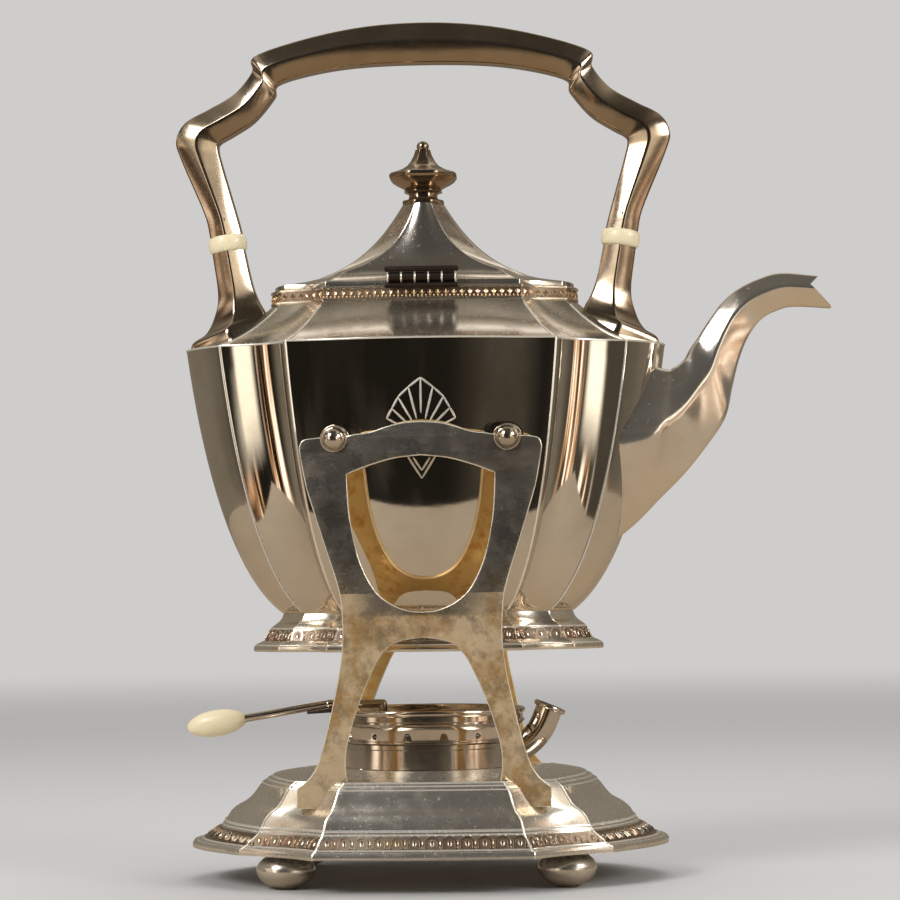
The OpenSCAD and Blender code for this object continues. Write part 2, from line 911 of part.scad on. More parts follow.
module filler_tube() {
    lip = 2;
    color(silver)
    difference() {
        union() {
            filler_path(filler_r, 0);
            translate([filler_to[0], 0, filler_to[1]])
            rotate([0, filler_lean, 0])
            translate([0, 0, -lip])
            cylinder(r = filler_r + 1.2, h = lip, $fn = 40);
        }
        filler_path(filler_r - burner_wall, 1);
        translate([0, 0, burner_z - 4]) cylinder(r = reservoir_r + seam, h = reservoir_h + 6, $fn = 96);
        translate([0, 0, chimney_z - seam])
            cylinder(r = rim_r - 1.4 + seam, h = chimney_h + ring_h, $fn = 96);
    }
}

wick_r = 5;

module wick_tube() {
    color(gilt)
    translate([0, 0, burner_z + burner_wall + 1])
    difference() {
        cylinder(r = wick_r + burner_wall, h = reservoir_h + 5, $fn = 48);
        translate([0, 0, -1]) cylinder(r = wick_r, h = reservoir_h + 8, $fn = 48);
    }
}

module wick() {
    color(cotton)
    translate([0, 0, burner_z + burner_wall + 1])
    cylinder(r = wick_r - seam, h = reservoir_h + 8, $fn = 48);
}

// ---- Regulator ----

rod_z = ring_z + ring_h + rod_d / 2 + 0.4;
rod_in = 18.4;
rod_out = 76.2;
// The rod bends down outside the rim, at this distance and by this angle, and is drawn a little
// thinner from there
droop_x = rim_r + 1.8;
droop_d = rod_d - 0.2;
rod_droop = 9;
spigot_h = 2;
spigot_r = rim_r - 2 - burner_wall - gap;
arm_t = 1.6;

// The turning rim: a flared band that drops over the drum
module regulator_ring() {
    r = rim_r;
    color(silver) {
    translate([0, 0, ring_z + gap])
    rotate_extrude($fn = 96)
    polygon([
        [spigot_r - 1.2, -spigot_h], [spigot_r, -spigot_h], [spigot_r, 0], [r - 0.8, 0],
        [r, ring_h * 0.35], [r, ring_h * 0.9], [r - 0.4, ring_h],
        [r - 1.6, ring_h], [r - 2, ring_h * 0.8], [spigot_r - 1.2, ring_h * 0.3]
    ]);
    translate([-spigot_r + 0.4, -2, ring_z + gap]) cube([spigot_r - rod_in + 2, 4, arm_t]);
    }
}

// Places what lies along the drooping part of the lever, with the bend at the origin
module along_lever() {
    translate([-droop_x, 0, rod_z])
    rotate([0, -rod_droop, 0])
    children();
}

// A point of the drooping part, seen from the front: x along the rod, z off its axis
function at_lever(x, z) =
    [
        -droop_x + x * cos(rod_droop) - z * sin(rod_droop),
        rod_z + x * sin(rod_droop) + z * cos(rod_droop)
    ];

module lever_bracket() {
    reach = 9;
    thick = 1.6;
    top = rod_z - rod_d / 2 - seam;
    under = droop_d / 2 + seam;
    color(silver)
    rotate([90, 0, 0])
    linear_extrude(height = 5.2, center = true)
    polygon([
        [-rim_r - seam, top], [-droop_x, top], at_lever(-reach, -under),
        at_lever(-reach, -under - thick / 2), [-droop_x, top - thick],
        [-rim_r - seam, top - thick]
    ]);
}

module lever_rod() {
    fit = ring_z + gap + arm_t + seam;
    color(silver) {
        along_lever() rotate([0, -90, 0]) cylinder(d = droop_d, h = rod_out - droop_x, $fn = 32);
        translate([-droop_x, 0, rod_z]) {
            sphere(d = rod_d, $fn = 32);
            rotate([0, 90, 0]) cylinder(d = rod_d, h = droop_x - rod_in, $fn = 32);
        }
        translate([-rod_in, 0, rod_z]) sphere(d = rod_d, $fn = 32);
        translate([-rod_in, 0, fit]) cylinder(d = rod_d, h = rod_z - fit, $fn = 32);
    }
}

module lever_knob() {
    half_l = 12;
    half_d = 5.3;
    end = rod_out - droop_x;
    color(ivory)
    along_lever()
    difference() {
        translate([-end - half_l + 3, 0, 0])
        rotate([0, 90, 0])
        rotate_extrude($fn = 48)
        polygon([for (a = [-90:10:90]) [half_d * cos(a), half_l * sin(a)]]);
        translate([-end - seam, 0, 0]) rotate([0, 90, 0]) cylinder(d = droop_d + seam * 2, h = 20, $fn = 32);
    }
}

kettle_body();
kettle_foot();
kettle_shoulder();
mouth_band();
spout();
stud_bosses();
handle_socket_left();
handle_socket_right();
insulator_left();
insulator_right();
handle_grip();
handle_pins();
rest_studs();
pivot_studs();
hinge_leaf();
hinge_pin();
lid_hinge_leaf();
lid_dome();
lid_bezel();
lid_finial();
finial_nut();
stand_base();
ball_feet();
front_frame();
back_frame();
burner_seat();
burner_reservoir();
burner_chimney();
filler_tube();
wick_tube();
wick();
regulator_ring();
lever_bracket();
lever_rod();
lever_knob();
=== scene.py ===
"""Silver kettle on its stand: the finished pieces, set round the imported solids.

Every size is in metres. The kettle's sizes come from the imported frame, so a change of the
solids carries over to the pieces made here.
"""

import math

import bmesh
import bpy
import numpy as np
from bpy.props import FloatProperty, FloatVectorProperty, IntProperty, PointerProperty
from bpy.types import Operator, Panel, PropertyGroup
from mathutils import Matrix, Vector


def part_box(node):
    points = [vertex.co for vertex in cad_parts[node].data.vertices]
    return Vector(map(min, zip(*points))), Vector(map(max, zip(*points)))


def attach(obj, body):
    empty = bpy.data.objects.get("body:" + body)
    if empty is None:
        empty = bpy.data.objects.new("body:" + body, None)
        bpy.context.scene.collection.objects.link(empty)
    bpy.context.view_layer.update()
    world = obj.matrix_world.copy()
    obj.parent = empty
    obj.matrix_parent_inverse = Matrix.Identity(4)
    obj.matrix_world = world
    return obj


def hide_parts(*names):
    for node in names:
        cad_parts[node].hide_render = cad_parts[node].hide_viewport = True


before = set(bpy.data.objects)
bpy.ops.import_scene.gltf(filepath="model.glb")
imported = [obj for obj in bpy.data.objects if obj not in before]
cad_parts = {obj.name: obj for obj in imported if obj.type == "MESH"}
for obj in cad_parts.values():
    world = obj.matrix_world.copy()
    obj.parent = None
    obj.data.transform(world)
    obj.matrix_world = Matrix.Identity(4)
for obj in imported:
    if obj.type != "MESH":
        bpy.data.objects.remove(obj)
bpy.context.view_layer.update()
MM = 0.001

bl_info = {
    "name": "Silver Kettle On Stand",
    "version": (1, 0, 0),
    "blender": (4, 5, 0),
    "location": "View3D > Sidebar > Kettle",
    "description": "Builds the finished pieces of a tilting silver kettle and its stand",
    "category": "Add Mesh",
}


# ---- Sizes from the frame ----

def low(node):
    """Lowest corner of a solid."""
    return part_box(node)[0]


def high(node):
    """Highest corner of a solid."""
    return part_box(node)[1]


BODY_L, BODY_W, EDGE_Z = high("kettle_body")
NECK_Z = low("kettle_body").z
FOOT_L, FOOT_Z = high("kettle_foot").x, low("kettle_foot").z
BAND_LOW, BAND_TOP = low("mouth_band").z, high("mouth_band").z
BAND_PROUD = 0.6 * MM
MOUTH_L, MOUTH_W = high("mouth_band").x - BAND_PROUD, high("mouth_band").y - BAND_PROUD
LID_Z, LID_TOP = low("lid_dome").z, high("lid_dome").z
BASE_L, BASE_W, BASE_Z = high("stand_base")
RIM_Z = low("stand_base").z
FRAME_TOP = high("front_frame").z
FRAME_T = high("front_frame").y - low("front_frame").y
GRIP_TOP, GRIP_W = high("handle_grip").z, high("handle_grip").y
STUD_X = (low("pivot_studs").x + high("pivot_studs").x) / 2
STUD_Z = (low("pivot_studs").z + high("pivot_studs").z) / 2
RIM_R = high("regulator_ring").y
# Walls, and the clearance of a piece from what it is cut to seat on
WALL, FOOT_WALL, SHOULDER_WALL, BAND_WALL = 1.5 * MM, 1.6 * MM, 1.4 * MM, 3 * MM
SPOUT_WALL, LID_WALL, BASE_WALL, BURNER_WALL = 1.3 * MM, 1.2 * MM, 1.8 * MM, 1.2 * MM
SEAT_GAP = 0.05 * MM


# ---- Curves and outlines ----

def bezier(points, t):
    """Point on the curve with these control points at t."""
    points = [np.asarray(p, float) for p in points]
    while len(points) > 1:
        points = [a * (1 - t) + b * t for a, b in zip(points, points[1:])]
    return points[0]


def mix(a, b, t):
    """Between a and b by the share t."""
    return a * (1 - t) + b * t


def even(count):
    """Even steps from 0 to 1."""
    return [k / count for k in range(count + 1)]


def arc(centre, half, start, end, count):
    """Points along a part of an ellipse with these half sizes, its angles in radians."""
    return [(centre[0] + half[0] * math.cos(a), centre[1] + half[1] * math.sin(a))
            for a in (mix(start, end, t) for t in even(count))]


def smooth_path(stations, steps):
    """A smooth curve through stations, with steps between each two."""
    p = [np.asarray(s, float) for s in stations]
    p = [2 * p[0] - p[1]] + p + [2 * p[-1] - p[-2]]
    path = []
    for i in range(1, len(p) - 2):
        for k in range(steps):
            t = k / steps
            path.append(0.5 * (2 * p[i] + (p[i + 1] - p[i - 1]) * t
                               + (2 * p[i - 1] - 5 * p[i] + 4 * p[i + 1] - p[i + 2]) * t * t
                               + (3 * p[i] - p[i - 1] - 3 * p[i + 1] + p[i + 2]) * t ** 3))
    path.append(p[-2])
    return path


class Outline:
    """The twelve-panelled outline seen from above. The two corners of each quarter are
    given as shares of the half length and half width, and the panel between them is hollowed
    by the share scoop."""

    END_STEPS = 8
    CORNER_STEPS = 12
    FRONT_STEPS = 14

    def __init__(self, length, width, corner, crease, scoop):
        self.size = np.array([length, width])
        self.corner = np.array(corner)
        self.crease = np.array(crease)
        self.scoop = scoop

    def inset(self, d):
        return Outline(*(self.size - d), self.corner, self.crease, self.scoop)

    def scaled(self, s):
        return Outline(*(self.size * s), self.corner, self.crease, self.scoop)

    def mixed(self, other, t):
        return Outline(*mix(self.size, other.size, t), mix(self.corner, other.corner, t),
                       mix(self.crease, other.crease, t), mix(self.scoop, other.scoop, t))

    def panels(self):
        """Control points of the end, corner and front panel in the first quarter."""
        l, w = self.size
        corner, crease = self.size * self.corner, self.size * self.crease
        hollow = (corner + crease) / 2 * (1 - self.scoop)
        return (
            [(l, 0), (l, corner[1] * 0.45), (mix(corner[0], l, 0.3), corner[1] * 0.8), corner],
            [corner, hollow, crease],
            [crease, (crease[0] * 0.7, crease[1]), (crease[0] * 0.5, w), (0, w)],
        )

    def quarter(self, rounding):
        """Points from the middle of the end to just before the middle of the front, with
        both arrises rounded."""
        panels = self.panels()
        steps = (self.END_STEPS, self.CORNER_STEPS, self.FRONT_STEPS)
        lengths = [np.linalg.norm(np.subtract(p[-1], p[0])) for p in panels]
        points = []
        for i, (panel, count, length) in enumerate(zip(panels, steps, lengths)):
            cut = min(0.2, rounding / length)
            start, end = (0 if i == 0 else cut), (1 if i == 2 else 1 - cut)
            inner = [bezier(panel, mix(start, end, t)) for t in even(count)]
            points += inner[:-1] if i == 2 else inner
            if i < 2:
                next_panel, next_length = panels[i + 1], lengths[i + 1]
                after = bezier(next_panel, min(0.2, rounding / next_length))
                arris = [inner[-1], panel[-1], after]
                points += [bezier(arris, t) for t in (0.25, 0.5, 0.75)]
        return points

    def ring(self, z, rounding=0.5 * MM):
        """The whole outline at height z, anticlockwise seen from above."""
        q = self.quarter(rounding)
        w = self.size[1]
        flat = (q + [(0, w)] + [(-x, y) for x, y in q[:0:-1]]
                + [(-x, -y) for x, y in q] + [(0, -w)] + [(x, -y) for x, y in q[:0:-1]])
        return np.array([(x, y, z) for x, y in flat])

    def sides(self, count=12):
        """The twelve panels, each as a row of points with its ends left out."""
        half = [[bezier(p, t) for t in even(count)] for p in self.panels()]
        front = half[2] + [(-x, y) for x, y in half[2][-2::-1]]
        end = [(x, -y) for x, y in half[0][::-1]] + half[0][1:]
        rows = [end, half[1], front]
        rows += [[(-x, y) for x, y in half[1]][::-1], [(-x, y) for x, y in end][::-1]]
        rows += [[(-x, -y) for x, y in half[1]], [(x, -y) for x, y in front][::-1]]
        rows += [[(x, -y) for x, y in half[1]][::-1]]
        return rows


NECK_SHARE = 0.602
EDGE = Outline(BODY_L, BODY_W, (0.833, 0.49), (0.545, 0.86), 0.16)
MOUTH = Outline(MOUTH_L, MOUTH_W, (0.925, 0.5), (0.64, 0.9), 0.096)
NECK = EDGE.scaled(NECK_SHARE)
DOME = Outline(MOUTH_L * 0.635, MOUTH_W * 0.66, (0.95, 0.5), (0.8, 0.92), 0.064)
COLLAR = Outline(8.4 * MM, 8.4 * MM, (0.92, 0.38), (0.38, 0.92), 0)
BASE = Outline(BASE_L, BASE_W, (0.755, 0.64), (0.44, 0.972), 0.06)
BASE_TOP = Outline(61.8 * MM, 60 * MM, (0.786, 0.80), (0.487, 0.98), 0.06)


# ---- Meshes ----

def raised(z):
    """Placement at this height on the axis."""
    return Matrix.Translation((0, 0, z))


def turned(angle, axis):
    """Placement turned about the X, Y or Z axis."""
    return Matrix.Rotation(angle, 4, axis)


def placed(name, data):
    """A new object in the scene."""
    thing = bpy.data.objects.new(name, data)
    bpy.context.scene.collection.objects.link(thing)
    return thing


def shade(piece, sharp=None):
    """Smooth shading, with the edges past this angle in degrees left sharp."""
    piece.data.shade_smooth()
    if sharp:
        piece.data.set_sharp_from_angle(angle=math.radians(sharp))


def evaluated(piece):
    """The mesh that a piece's modifiers or curve give."""
    graph = bpy.context.evaluated_depsgraph_get()
    return bpy.data.meshes.new_from_object(piece.evaluated_get(graph))


def mesh_object(name, points, faces, sharp=40):
    """An object from points and faces, its faces turned outwards and smooth where the
    angle between them is under sharp degrees."""
    mesh = bpy.data.meshes.new(name)
    mesh.from_pydata([tuple(p) for p in points], [], faces)
    piece = placed(name, mesh)
    settle(piece, sharp)
    return piece


def settle(piece, sharp=40):
    """Merges doubles, turns an inside-out mesh and sets the shading."""
    work = bmesh.new()
    work.from_mesh(piece.data)
    bmesh.ops.remove_doubles(work, verts=work.verts, dist=1e-7)
    bmesh.ops.dissolve_degenerate(work, edges=work.edges, dist=1e-7)
    if work.calc_volume(signed=True) < 0:
        bmesh.ops.reverse_faces(work, faces=work.faces)
    work.to_mesh(piece.data)
    work.free()
    shade(piece, sharp)


def loft(name, rings, closed=False, sharp=40):
    """A skin through rings of equal length. A closed one joins its last ring to its first,
    and an open one has its two ends filled."""
    n, m = len(rings[0]), len(rings)
    points = [p for ring in rings for p in ring]
    faces = []
    for i in range(m if closed else m - 1):
        k = (i + 1) % m
        for j in range(n):
            h = (j + 1) % n
            faces.append((i * n + j, i * n + h, k * n + h, k * n + j))
    if not closed:
        faces.append(tuple(range(n))[::-1])
        faces.append(tuple((m - 1) * n + j for j in range(n)))
    return mesh_object(name, points, faces, sharp)


def lathe(name, profile, place=Matrix.Identity(4), turns=64, closed=False, sharp=35):
    """A turned piece. Profile is rows of (radius, height); place sets its axis."""
    rings = []
    for r, z in profile:
        a = np.arange(turns) * 2 * math.pi / turns
        ring = np.stack([max(r, 1e-6) * np.cos(a), max(r, 1e-6) * np.sin(a),
                         np.full(turns, z)], axis=1)
        rings.append(ring)
    piece = loft(name, rings, closed, sharp)
    piece.data.transform(place)
    if place.to_3x3().determinant() < 0:
        settle(piece, sharp)
    return piece


def join(name, pieces, sharp=None):
    """One object from several, which are used up."""
    work = bmesh.new()
    for piece in pieces:
        work.from_mesh(piece.data)
        old = piece.data
        bpy.data.objects.remove(piece)
        bpy.data.meshes.remove(old)
    mesh = bpy.data.meshes.new(name)
    work.to_mesh(mesh)
    work.free()
    joined = placed(name, mesh)
    shade(joined, sharp)
    return joined


def carve(piece, tools, sharp=40):
    """Cuts the tools out of a piece, and removes them."""
    for tool in tools:
        cut = piece.modifiers.new("cut", "BOOLEAN")
        cut.operation = "DIFFERENCE"
        cut.solver = "EXACT"
        cut.object = tool
    mesh = evaluated(piece)
    piece.modifiers.clear()
    piece.data = mesh
    shade(piece, sharp)
    for tool in tools:
        bpy.data.objects.remove(tool)


def block(name, lo, hi):
    """A box between two corners, for cutting."""
    corners = [(x, y, z) for z in (lo[2], hi[2]) for y in (lo[1], hi[1]) for x in (lo[0], hi[0])]
    faces = [(0, 2, 3, 1), (4, 5, 7, 6), (0, 1, 5, 4), (2, 6, 7, 3), (0, 4, 6, 2), (1, 3, 7, 5)]
    return mesh_object(name, corners, faces)


def rounded(corners, share=0.12):
    """A ring through corners with each corner rounded over a share of its sides."""
    c = [np.asarray(p, float) for p in corners]
    ring = []
    for i, p in enumerate(c):
        before, after = mix(p, c[i - 1], share), mix(p, c[(i + 1) % len(c)], share)
        ring += [bezier([before, p, after], t) for t in (0, 0.33, 0.67, 1)]
        ring += [mix(p, c[(i + 1) % len(c)], 0.5)]
    return np.array(ring)


def ridged(upper, lower, width, share=0.1, down=0.5, keel=1):
    """A six-sided section with a crease along each side, a share of the way down. Its bottom
    is a share of the top's width."""
    middle, top, foot = mix(upper, lower, down), width * 0.5, width * 0.5 * keel
    return rounded([
        (upper[0], -top, upper[1]), (middle[0], -width, middle[1]),
        (lower[0], -foot, lower[1]), (lower[0], foot, lower[1]),
        (middle[0], width, middle[1]), (upper[0], top, upper[1])], share)


def tube(name, path, radius, sides=10):
    """A round rod along a path, with rounded ends when the radius is a row that shrinks."""
    path = [Vector(p) for p in path]
    radii = radius if hasattr(radius, "__len__") else [radius] * len(path)
    rings, side = [], None
    for i, (point, r) in enumerate(zip(path, radii)):
        along = (path[min(i + 1, len(path) - 1)] - path[max(i - 1, 0)]).normalized()
        if side is None:
            side = along.orthogonal().normalized()
        side = (side - along * side.dot(along)).normalized()
        up = along.cross(side)
        rings.append([point + (side * math.cos(a) + up * math.sin(a)) * r
                      for a in np.arange(sides) * 2 * math.pi / sides])
    return loft(name, rings)


def bead(name, centre, half, turns=24, place=Matrix.Identity(4)):
    """An egg-shaped piece with these half sizes."""
    rows = arc((0, 0), (1, 1), -math.pi / 2, math.pi / 2, turns // 2 - 1)
    place = place @ Matrix.Translation(centre) @ Matrix.Diagonal((*half, 1))
    return lathe(name, rows, place, turns)


def coat(piece, name):
    """Gives a piece, or a solid that stays as it is, the finish of this name."""
    piece.data.materials.clear()
    piece.data.materials.append(FINISH[name])


def finish(piece, body, slot, name, *nodes):
    """Gives a piece its finish and its body, and says which solids it stands for."""
    coat(piece, name)
    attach(piece, body)
    if nodes:
        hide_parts(*nodes)


# ---- Materials ----

class Wire:
    """A shader socket that takes part in Python arithmetic."""

    def __init__(self, paint, socket):
        self.paint = paint
        self.socket = socket

    def maths(self, operation, *others):
        return self.paint.node("ShaderNodeMath", {"operation": operation},
                               dict(enumerate((self,) + others)))

    def __add__(self, other):
        return self.maths("ADD", other)

    __radd__ = __add__

    def __sub__(self, other):
        return self.maths("SUBTRACT", other)

    def __rsub__(self, other):
        return self.paint.node("ShaderNodeMath", {"operation": "SUBTRACT"}, {0: other, 1: self})

    def __mul__(self, other):
        return self.maths("MULTIPLY", other)

    __rmul__ = __mul__

    def __abs__(self):
        return self.maths("ABSOLUTE")

    def over(self, start, end):
        """0 below start, 1 above end, smooth between."""
        return self.paint.node("ShaderNodeMapRange", {"interpolation_type": "SMOOTHSTEP"},
                               {"Value": self, "From Min": start, "From Max": end})

    def within(self, start, full, fading, end):
        """1 from full to fading, 0 below start and above end."""
        return self.over(start, full) * (1 - self.over(fading, end))


class Paint:
    """The nodes of a new material, or of the world, under construction."""

    def __init__(self, name, world=None):
        self.owner = world or bpy.data.materials.new(name)
        self.owner.use_nodes = True
        self.tree = self.owner.node_tree
        self.shader = self.tree.nodes.get("Principled BSDF")
        self.place = self.node("ShaderNodeTexCoord", {}, {}, "Object")

    def node(self, kind, settings, inputs, output=0):
        """Adds a node, sets it, feeds its sockets and returns one of its outputs."""
        made = self.tree.nodes.new(kind)
        for name, value in settings.items():
            if name == "stops":
                ramp = made.color_ramp
                while len(ramp.elements) < len(value):
                    ramp.elements.new(1)
                for element, (position, colour) in zip(ramp.elements, value):
                    element.position = position
                    element.color = (*colour, 1)
            else:
                setattr(made, name, value)
        for name, value in inputs.items():
            self.feed(made.inputs[name], value)
        return Wire(self, made.outputs[output])

    def feed(self, socket, value):
        if isinstance(value, Wire):
            self.tree.links.new(value.socket, socket)
        elif hasattr(value, "__len__") and len(value) == 3 and socket.type == "RGBA":
            socket.default_value = (*value, 1)
        else:
            socket.default_value = value

    def set(self, **values):
        """Feeds the main shader's sockets by name."""
        for name, value in values.items():
            self.feed(self.shader.inputs[name.replace("_", " ")], value)
        return self

    def noise(self, size, detail=3, roughness=0.5, stretch=(1, 1, 1), at=(0, 0, 0)):
        """Noise whose grains are about size metres across."""
        place = self.node("ShaderNodeMapping", {}, {"Vector": self.place, "Location": at,
                                                    "Scale": stretch})
        return self.node("ShaderNodeTexNoise", {}, {
            "Vector": place, "Scale": 1 / size, "Detail": detail, "Roughness": roughness})

    def ray(self, kind):
        """1 for rays of this kind, such as Camera or Glossy."""
        return self.node("ShaderNodeLightPath", {}, {}, f"Is {kind} Ray")

    def axis(self, vector, letter):
        return self.node("ShaderNodeSeparateXYZ", {}, {0: vector}, letter)

    def mixed(self, factor, a, b):
        """Colour a, with b over it by factor."""
        return self.node("ShaderNodeMix", {"data_type": "RGBA"}, {0: factor, 6: a, 7: b}, 2)

    def bump(self, height, strength, distance):
        return self.node("ShaderNodeBump", {}, {"Strength": strength, "Distance": distance,
                                                "Height": height})


def silver(name, colour, film, amount=0.6, gloss=0.12, grain=0.5, fleck=0.3, dull=0.0,
           under=None, gilt=None):
    """Polished silver with a film of tarnish in clouds, pale flecks and fine scratches.

    Dull is the share that the tarnish scatters. Faces turned down take the colour under, a painted
    reflection of the floor below them. With gilt, the faces turned to the kettle have a gold
    tarnish; the legs are paler gold with dark mottling, partly tarnish and partly a painted
    reflection of the floor; the edges are made pale, a painted highlight; and the legs are dished
    so that they look down a little."""
    p = Paint(name)
    normal = p.node("ShaderNodeTexCoord", {}, {}, "Normal")
    cloud = p.noise(34 * MM, 5, 0.6).over(0.36, 0.68)
    patch = p.noise(7 * MM, 6, 0.65, at=(0.3, 0.1, 0.2)).over(0.46, 0.66)
    scratch = p.noise(0.9 * MM, 3, 0.7, stretch=(0.12, 1, 1))
    spots = p.noise(1.6 * MM, 4, 0.7, at=(0.7, 0.5, 0.1)).over(0.6, 0.72)
    tint = p.mixed(cloud * amount, colour, film)
    tint = p.mixed(patch * (amount * 0.35), tint, film)
    tint = p.mixed(spots * patch * fleck, tint, (0.86, 0.82, 0.76))
    rough = gloss + (cloud + patch + scratch) * (gloss * 0.4) + spots * (fleck * 0.2)
    metal = 1 - dull - spots * dull
    # Painted reflection: faces turned down take the colour under, standing for the floor seen in
    # them.
    if under:
        down = (0 - p.axis(normal, "Z")).over(0.1, 0.6)
        tint = p.mixed(down * (1 - cloud * 0.3), tint, under)
    bump = p.bump(scratch + patch * 0.4, 0.03 * grain, 0.2 * MM)
    if gilt:
        y, z = p.axis(p.place, "Y"), p.axis(p.place, "Z")
        facing = p.axis(normal, "Y")
        flat = abs(facing)
        inner = (y * facing * -18).over(-0.6, 0.2) * z.over(0.036, 0.042)
        # The legs are paler gold with dark mottling: partly tarnish, partly a painted reflection of
        # the floor.
        leg = 1 - (z + (patch + cloud) * 0.014).over(0.104, 0.136)
        stain = p.noise(19 * MM, 7, 0.72, at=(0.1, 0.4, 0.9)).over(0.42, 0.62)
        leg_tarnish_and_reflection = p.mixed(stain, (0.95, 0.82, 0.61), (0.60, 0.41, 0.20))
        leg_tarnish_and_reflection = p.mixed(patch * 0.6, leg_tarnish_and_reflection, (0.36, 0.29, 0.2))
        tint = p.mixed(leg, p.mixed(stain * 0.5, tint, (0.16, 0.14, 0.11)), leg_tarnish_and_reflection)
        tint = p.mixed(inner, tint, p.mixed(patch, gilt, (0.80, 0.42, 0.10)))
        # Painted highlight: the bevel faces along the edges are made pale and less metallic.
        edge = flat.within(0.15, 0.4, 0.85, 0.97)
        tint = p.mixed(edge, tint, (1.0, 0.93, 0.78))
        rough = rough + inner * 0.2
        metal = metal - inner * 0.35 - edge * 0.45
        dish = p.node("ShaderNodeMath", {"operation": "MINIMUM"}, {0: z, 1: 0.112})
        bump = p.node("ShaderNodeBump", {}, {"Strength": 1.0, "Distance": 0.16,
                                             "Height": dish, "Normal": bump})
    p.set(Base_Color=tint, Metallic=metal, Roughness=rough, Normal=bump)
    return p.owner


def chased(name, colour, film):
    """Silver of the ornament: bright on its high parts and dark in its recesses."""
    p = Paint(name)
    depth = p.node("ShaderNodeNewGeometry", {}, {}, "Pointiness").over(0.44, 0.52)
    cloud = p.noise(16 * MM, 4, 0.6).over(0.4, 0.65)
    rose = p.noise(7 * MM, 3, 0.6, at=(0.2, 0.8, 0.4)).over(0.46, 0.6)
    worn = p.mixed(cloud * 0.7, colour, (0.85, 0.62, 0.32))
    worn = p.mixed(rose * 0.6, worn, (0.86, 0.56, 0.46))
    tint = p.mixed(depth, film, worn)
    p.set(Base_Color=tint, Metallic=1.0, Roughness=0.34 - depth * 0.14 + cloud * 0.05,
          Normal=p.bump(p.noise(0.8 * MM, 3), 0.08, 0.2 * MM))
    return p.owner


def ivory(name, colour):
    """Polished ivory-coloured insulator with fine grain along its length."""
    p = Paint(name)
    grain = p.noise(1.2 * MM, 3, 0.6, stretch=(0.2, 1, 1))
    cloud = p.noise(9 * MM, 3)
    tint = p.mixed(cloud.over(0.4, 0.75) * 0.35, colour, (0.86, 0.74, 0.52))
    tint = p.mixed(grain.over(0.55, 0.75) * 0.25, tint, (0.7, 0.56, 0.36))
    p.set(Base_Color=tint, Roughness=0.3 + grain * 0.1, IOR=1.54,
          Normal=p.bump(grain, 0.06, 0.2 * MM))
    p.set(Subsurface_Weight=0.12, Subsurface_Scale=0.002, Coat_Weight=0.15)
    return p.owner


def woven(name, colour):
    """Braided cotton."""
    p = Paint(name)
    x, y, z = (p.axis(p.place, letter) for letter in "XYZ")
    across = (x * 6000 + z * 3000).maths("SINE")
    along = (y * 6000 - z * 3000).maths("SINE")
    weave = (across * along).over(-0.6, 0.8)
    p.set(Base_Color=p.mixed(weave, (0.42, 0.36, 0.3), colour), Roughness=0.9,
          Normal=p.bump(weave, 0.6, 0.4 * MM))
    return p.owner


class KettleColours(PropertyGroup):
    """Colours of the finishes."""

    silver: FloatVectorProperty(
        name="Silver", description="Polished silver", subtype="COLOR", size=3,
        default=(0.80, 0.745, 0.66), min=0, max=1)
    film: FloatVectorProperty(
        name="Tarnish film", description="Brown film on the silver", subtype="COLOR", size=3,
        default=(0.47, 0.395, 0.30), min=0, max=1)
    dark: FloatVectorProperty(
        name="Dark silver", description="Faces of the two frames", subtype="COLOR", size=3,
        default=(0.55, 0.51, 0.46), min=0, max=1)
    gilt: FloatVectorProperty(
        name="Gold tarnish", description="Inner faces of the frames, and the wick tube",
        subtype="COLOR", size=3, default=(0.98, 0.68, 0.27), min=0, max=1)
    recess: FloatVectorProperty(
        name="Recess", description="Ground of the ornament", subtype="COLOR", size=3,
        default=(0.27, 0.20, 0.14), min=0, max=1)
    ivory: FloatVectorProperty(
        name="Ivory", description="Insulators and the lever's knob", subtype="COLOR", size=3,
        default=(0.98, 0.85, 0.56), min=0, max=1)
    cotton: FloatVectorProperty(
        name="Cotton", description="The wick", subtype="COLOR", size=3,
        default=(0.85, 0.82, 0.75), min=0, max=1)
    floor: FloatVectorProperty(
        name="Floor", description="Floor and backdrop", subtype="COLOR", size=3,
        default=(0.62, 0.61, 0.6), min=0, max=1)


class KettleSizes(PropertyGroup):
    """Sizes of the detail that the solids leave out."""

    arris: FloatProperty(
        name="Arris", description="Rounding of the creases between panels", unit="LENGTH",
        default=0.5 * MM, min=0.1 * MM, max=2 * MM)
    bead: FloatProperty(
        name="Bead", description="Radius of the raised lines along the arrises", unit="LENGTH",
        default=0.42 * MM, min=0.1 * MM, max=1 * MM)
    foot_pitch: FloatProperty(
        name="Foot pitch", description="Spacing of the arches round the foot", unit="LENGTH",
        default=5.6 * MM, min=3 * MM, max=10 * MM)
    base_pitch: FloatProperty(
        name="Base pitch", description="Spacing of the arches round the base", unit="LENGTH",
        default=6.1 * MM, min=3 * MM, max=10 * MM)
    band_pitch: FloatProperty(
        name="Band pitch", description="Spacing of the leaves round the mouth", unit="LENGTH",
        default=3.1 * MM, min=2 * MM, max=8 * MM)
    line: FloatProperty(
        name="Engraved line", description="Width of an engraved line", unit="LENGTH",
        default=0.95 * MM, min=0.2 * MM, max=1.6 * MM)
    body_steps: IntProperty(
        name="Body steps", description="Rings along the side of the body", default=44,
        min=8, max=96)


FINISH = {}


